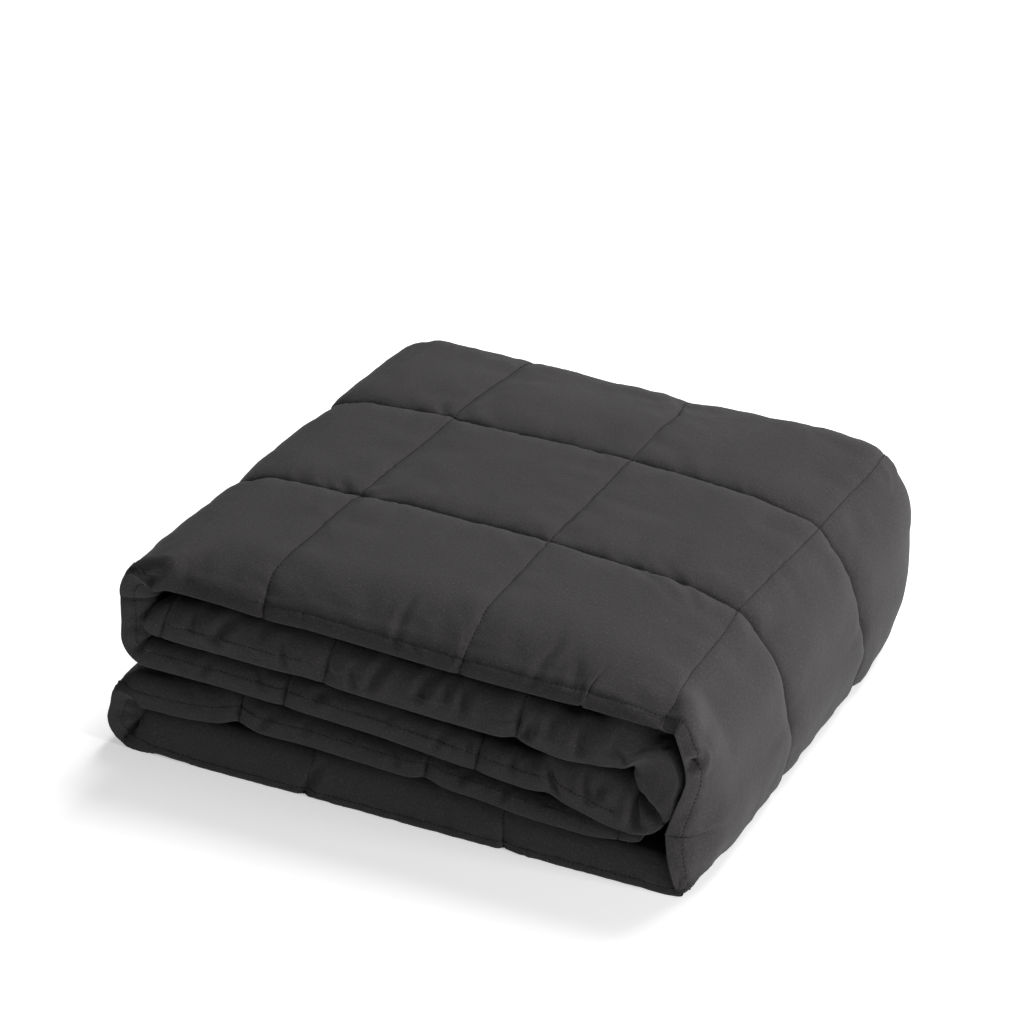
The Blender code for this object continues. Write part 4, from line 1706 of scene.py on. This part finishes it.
@dataclass(frozen=True)
class Stitching:
    """The thread in the stitch lines, laid by Geometry Nodes.

    Attributes:
        blanket: the cloth it holds.
        grids: that cloth's points.
        pitch: distance from stitch to stitch.
        length: length of the thread that shows of each.
        width: its thickness.
        proud: how far it stands out of the groove.
        end_gap: how far from the free ends the hem's and the rows' stitches stop.
        least_sewn: the least share of the hem's groove that shows its stitches.
        segments: sides round each stitch.
        rings: steps along each stitch.
        uneven: the shortest and the longest stitch, as shares of the length.
        seed: their random lengths.
    """

    blanket: Blanket
    grids: Grids
    pitch: float = 0.0031
    length: float = 0.0023
    width: float = 0.00072
    proud: float = 0.00030
    end_gap: float = 0.012
    least_sewn: float = 0.12
    segments: int = 5
    rings: int = 4
    uneven: tuple[float, float] = (0.88, 1.08)
    seed: int = 7

    def lines(self) -> list[np.ndarray]:
        """The stitch lines, each as points on the cloth."""
        grids, blanket = self.grids, self.blanket
        outer = self.raised(grids.outer, Face.OUTER)
        inner = self.raised(grids.inner, Face.INNER)
        hem = 1 + blanket.near_hem.index(HEM)
        front = blanket.front_count()
        rows = [front + int(np.argmin(np.abs(blanket.face_stations(Face.OUTER) - row))) for row in ROWS]
        inside = (grids.along > self.end_gap) & (grids.along < blanket.strip.length - self.end_gap)
        sewn = blanket.strip.value("sewn", grids.along) > self.least_sewn
        ends = np.flatnonzero(np.diff(np.concatenate(([False], inside & sewn, [False])).astype(int)))
        stretches = list(zip(ends[::2], ends[1::2]))
        found = [face[start:stop, hem] for start, stop in stretches for face in (outer, inner)]
        found += [outer[grids.whole & inside, row] for row in rows]
        for seam in SEAMS:
            ring = int(np.argmin(np.abs(grids.along - seam.along)))
            found += [outer[ring, 1:], inner[ring, 1:front]]
        return found

    def raised(self, points: np.ndarray, face: Face) -> np.ndarray:
        """A face's points, moved out by the thread's share."""
        along = np.gradient(points, axis=0)
        away = np.gradient(points, axis=1)
        normal = face.value * np.cross(along, away)
        normal /= np.maximum(np.linalg.norm(normal, axis=2), 1e-12)[..., None]
        return points + self.proud * normal

    def curve(self) -> bpy.types.Object:
        """The stitch lines as one curve object."""
        curve = bpy.data.curves.new("stitch_lines", "CURVE")
        curve.dimensions = "3D"
        for line in self.lines():
            spline = curve.splines.new("POLY")
            spline.points.add(len(line) - 1)
            spline.points.foreach_set("co", np.column_stack((line, np.ones(len(line)))).ravel())
        return placed("stitch_lines", curve)

    def tree(self, material: bpy.types.Material) -> bpy.types.NodeTree:
        """The Geometry Nodes tree that lays stitches along a curve.

        Args:
            material: what the stitches are made of.

        Returns:
            The tree, with inputs for the pitch, the length and the width.
        """
        tree = bpy.data.node_groups.new("Stitches", "GeometryNodeTree")
        tree.is_modifier = True
        face = tree.interface
        face.new_socket("Lines", in_out="INPUT", socket_type="NodeSocketGeometry")
        for name in ("Pitch", "Length", "Width"):
            face.new_socket(name, in_out="INPUT", socket_type="NodeSocketFloat")
        face.new_socket("Stitches", in_out="OUTPUT", socket_type="NodeSocketGeometry")
        nodes = Nodes(tree)
        given = nodes.add("NodeGroupInput").outputs
        spots = nodes.add(
            "GeometryNodeCurveToPoints", {"Curve": given["Lines"], "Length": given["Pitch"]}, mode="LENGTH")
        turn = nodes.add("FunctionNodeAlignRotationToVector", {"Vector": spots.outputs["Tangent"]}, axis="Z")
        bead = nodes.add(
            "GeometryNodeMeshUVSphere", {"Segments": self.segments, "Rings": self.rings, "Radius": 0.5})
        uneven = nodes.add(
            "FunctionNodeRandomValue", {2: self.uneven[0], 3: self.uneven[1], "Seed": self.seed},
            data_type="FLOAT")
        long = nodes.maths("MULTIPLY", given["Length"], uneven.outputs[1])
        size = nodes.add("ShaderNodeCombineXYZ", {0: given["Width"], 1: given["Width"], 2: long})
        laid = nodes.add("GeometryNodeInstanceOnPoints", {
            "Points": spots.outputs["Points"], "Instance": bead.outputs["Mesh"],
            "Rotation": turn.outputs["Rotation"], "Scale": size.outputs[0]})
        real = nodes.add("GeometryNodeRealizeInstances", {"Geometry": laid.outputs[0]})
        smoothed = nodes.add("GeometryNodeSetShadeSmooth", {"Geometry": real.outputs[0]})
        dressed = nodes.add(
            "GeometryNodeSetMaterial", {"Geometry": smoothed.outputs[0], "Material": material})
        nodes.add("NodeGroupOutput", {0: dressed.outputs[0]})
        return tree

    def build(self, material: bpy.types.Material) -> bpy.types.Object:
        """Lays the stitches.

        Args:
            material: the thread.

        Returns:
            The stitches as one plain mesh object.
        """
        lines = self.curve()
        modifier = lines.modifiers.new("Stitches", "NODES")
        modifier.node_group = self.tree(material)
        sizes = {"Pitch": self.pitch, "Length": self.length, "Width": self.width}
        for item in modifier.node_group.interface.items_tree:
            if item.in_out == "INPUT" and item.name in sizes:
                modifier[item.identifier] = sizes[item.name]
        bpy.context.view_layer.update()
        graph = bpy.context.evaluated_depsgraph_get()
        mesh = bpy.data.meshes.new_from_object(lines.evaluated_get(graph), depsgraph=graph)
        mesh.name = "stitches"
        bpy.data.objects.remove(lines)
        LOG.info("stitches: %d faces", len(mesh.polygons))
        return placed("stitches", mesh)


@dataclass(frozen=True)
class Softbox:
    """One area light.

    Attributes:
        name: its name.
        spot: where it hangs.
        aim: what it points at.
        size: its side.
        power: its power in watts.
    """

    name: str
    spot: tuple[float, float, float]
    aim: tuple[float, float, float]
    size: float
    power: float

    def hang(self) -> None:
        """Puts the light in the scene."""
        light = bpy.data.lights.new(self.name, "AREA")
        light.shape = "SQUARE"
        light.size = self.size
        light.energy = self.power
        lamp = placed(self.name, light)
        lamp.location = self.spot
        lamp.rotation_euler = (Vector(self.aim) - lamp.location).to_track_quat("-Z", "Y").to_euler()


@dataclass(frozen=True)
class Studio:
    """A pale floor, soft light and the camera.

    Attributes:
        azimuth: the camera's turn round the bundle.
        elevation: its height above the horizon.
        distance: how far it stands from its target.
        target: what it looks at, in the drawing's coordinates.
        lens: its focal length in millimetres.
        sensor: the width of its sensor in millimetres.
        floor_size: the floor's side.
        floor_white: how pale the floor is.
        floor_rough: its roughness.
        floor_glow: how much light of its own it gives, so that it stays white away from the bundle.
        world_white: strength of the light from all round.
        boxes: the softboxes.
    """

    azimuth: float = math.radians(26.06)
    elevation: float = math.radians(27.58)
    distance: float = 2.261
    target: tuple[float, float, float] = (0.138, 0.309, 0.05)
    lens: float = 113.1
    sensor: float = 36.0
    floor_size: float = 12.0
    floor_white: float = 0.93
    floor_rough: float = 0.9
    floor_glow: float = 0.45
    world_white: float = 0.10
    boxes: tuple[Softbox, ...] = (
        Softbox("side", (1.9, -0.25, 0.75), (0.0, 0.0, 0.07), 0.7, 30.0),
        Softbox("top", (0.3, 1.6, 2.4), (0.0, 0.0, 0.06), 1.6, 86.0),
    )

    def camera(self) -> None:
        """Creates the camera and makes it the scene's."""
        data = bpy.data.cameras.new("camera")
        data.sensor_width = self.sensor
        data.lens = self.lens
        eye = placed("camera", data)
        back = Vector((
            math.sin(self.azimuth) * math.cos(self.elevation),
            -math.cos(self.azimuth) * math.cos(self.elevation),
            math.sin(self.elevation),
        ))
        aim = Vector(self.target) - Vector((*DRAWING_MIDDLE, 0.0))
        eye.location = aim + back * self.distance
        eye.rotation_euler = (-back).to_track_quat("-Z", "Y").to_euler()
        bpy.context.scene.camera = eye

    def floor(self) -> bpy.types.Object:
        """A large plain sheet of pale paper under the bundle."""
        side = self.floor_size / 2
        mesh = bpy.data.meshes.new("floor")
        corners = [(-side, -side, 0), (side, -side, 0), (side, side, 0), (-side, side, 0)]
        mesh.from_pydata(corners, [], [(0, 1, 2, 3)])
        material, nodes, shader = new_material("pale_floor")
        nodes.fill(shader, {
            "Base Color": (*(self.floor_white,) * 3, 1.0), "Roughness": self.floor_rough,
            "Emission Color": (1.0, 1.0, 1.0, 1.0), "Emission Strength": self.floor_glow,
        })
        mesh.materials.append(material)
        return placed("floor", mesh)

    def world(self) -> None:
        """Soft white light from all round."""
        world = bpy.data.worlds.new("studio")
        world.use_nodes = True
        sky = world.node_tree.nodes["Background"]
        sky.inputs["Color"].default_value = (1.0, 1.0, 1.0, 1.0)
        sky.inputs["Strength"].default_value = self.world_white
        bpy.context.scene.world = world

    def build(self) -> None:
        """Sets up all of it."""
        self.camera()
        self.world()
        self.floor()
        for box in self.boxes:
            box.hang()
        bpy.context.scene.view_settings.view_transform = "Standard"


def main() -> None:
    """Builds the pieces in order and ties them to the frame."""
    logging.basicConfig(level=logging.INFO, format="%(name)s: %(message)s")
    Studio().build()
    strip = FoldedStrip()
    maker = Blanket(strip, Quilting(CottonSheet().relief()))
    blanket, grids = maker.build()
    blanket.data.materials.append(CottonFinish().material())
    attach(blanket, "root")
    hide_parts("blanket")
    stitches = Stitching(maker, grids).build(ThreadFinish().material())
    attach(stitches, "root")


if __name__ == "__main__":
    main()
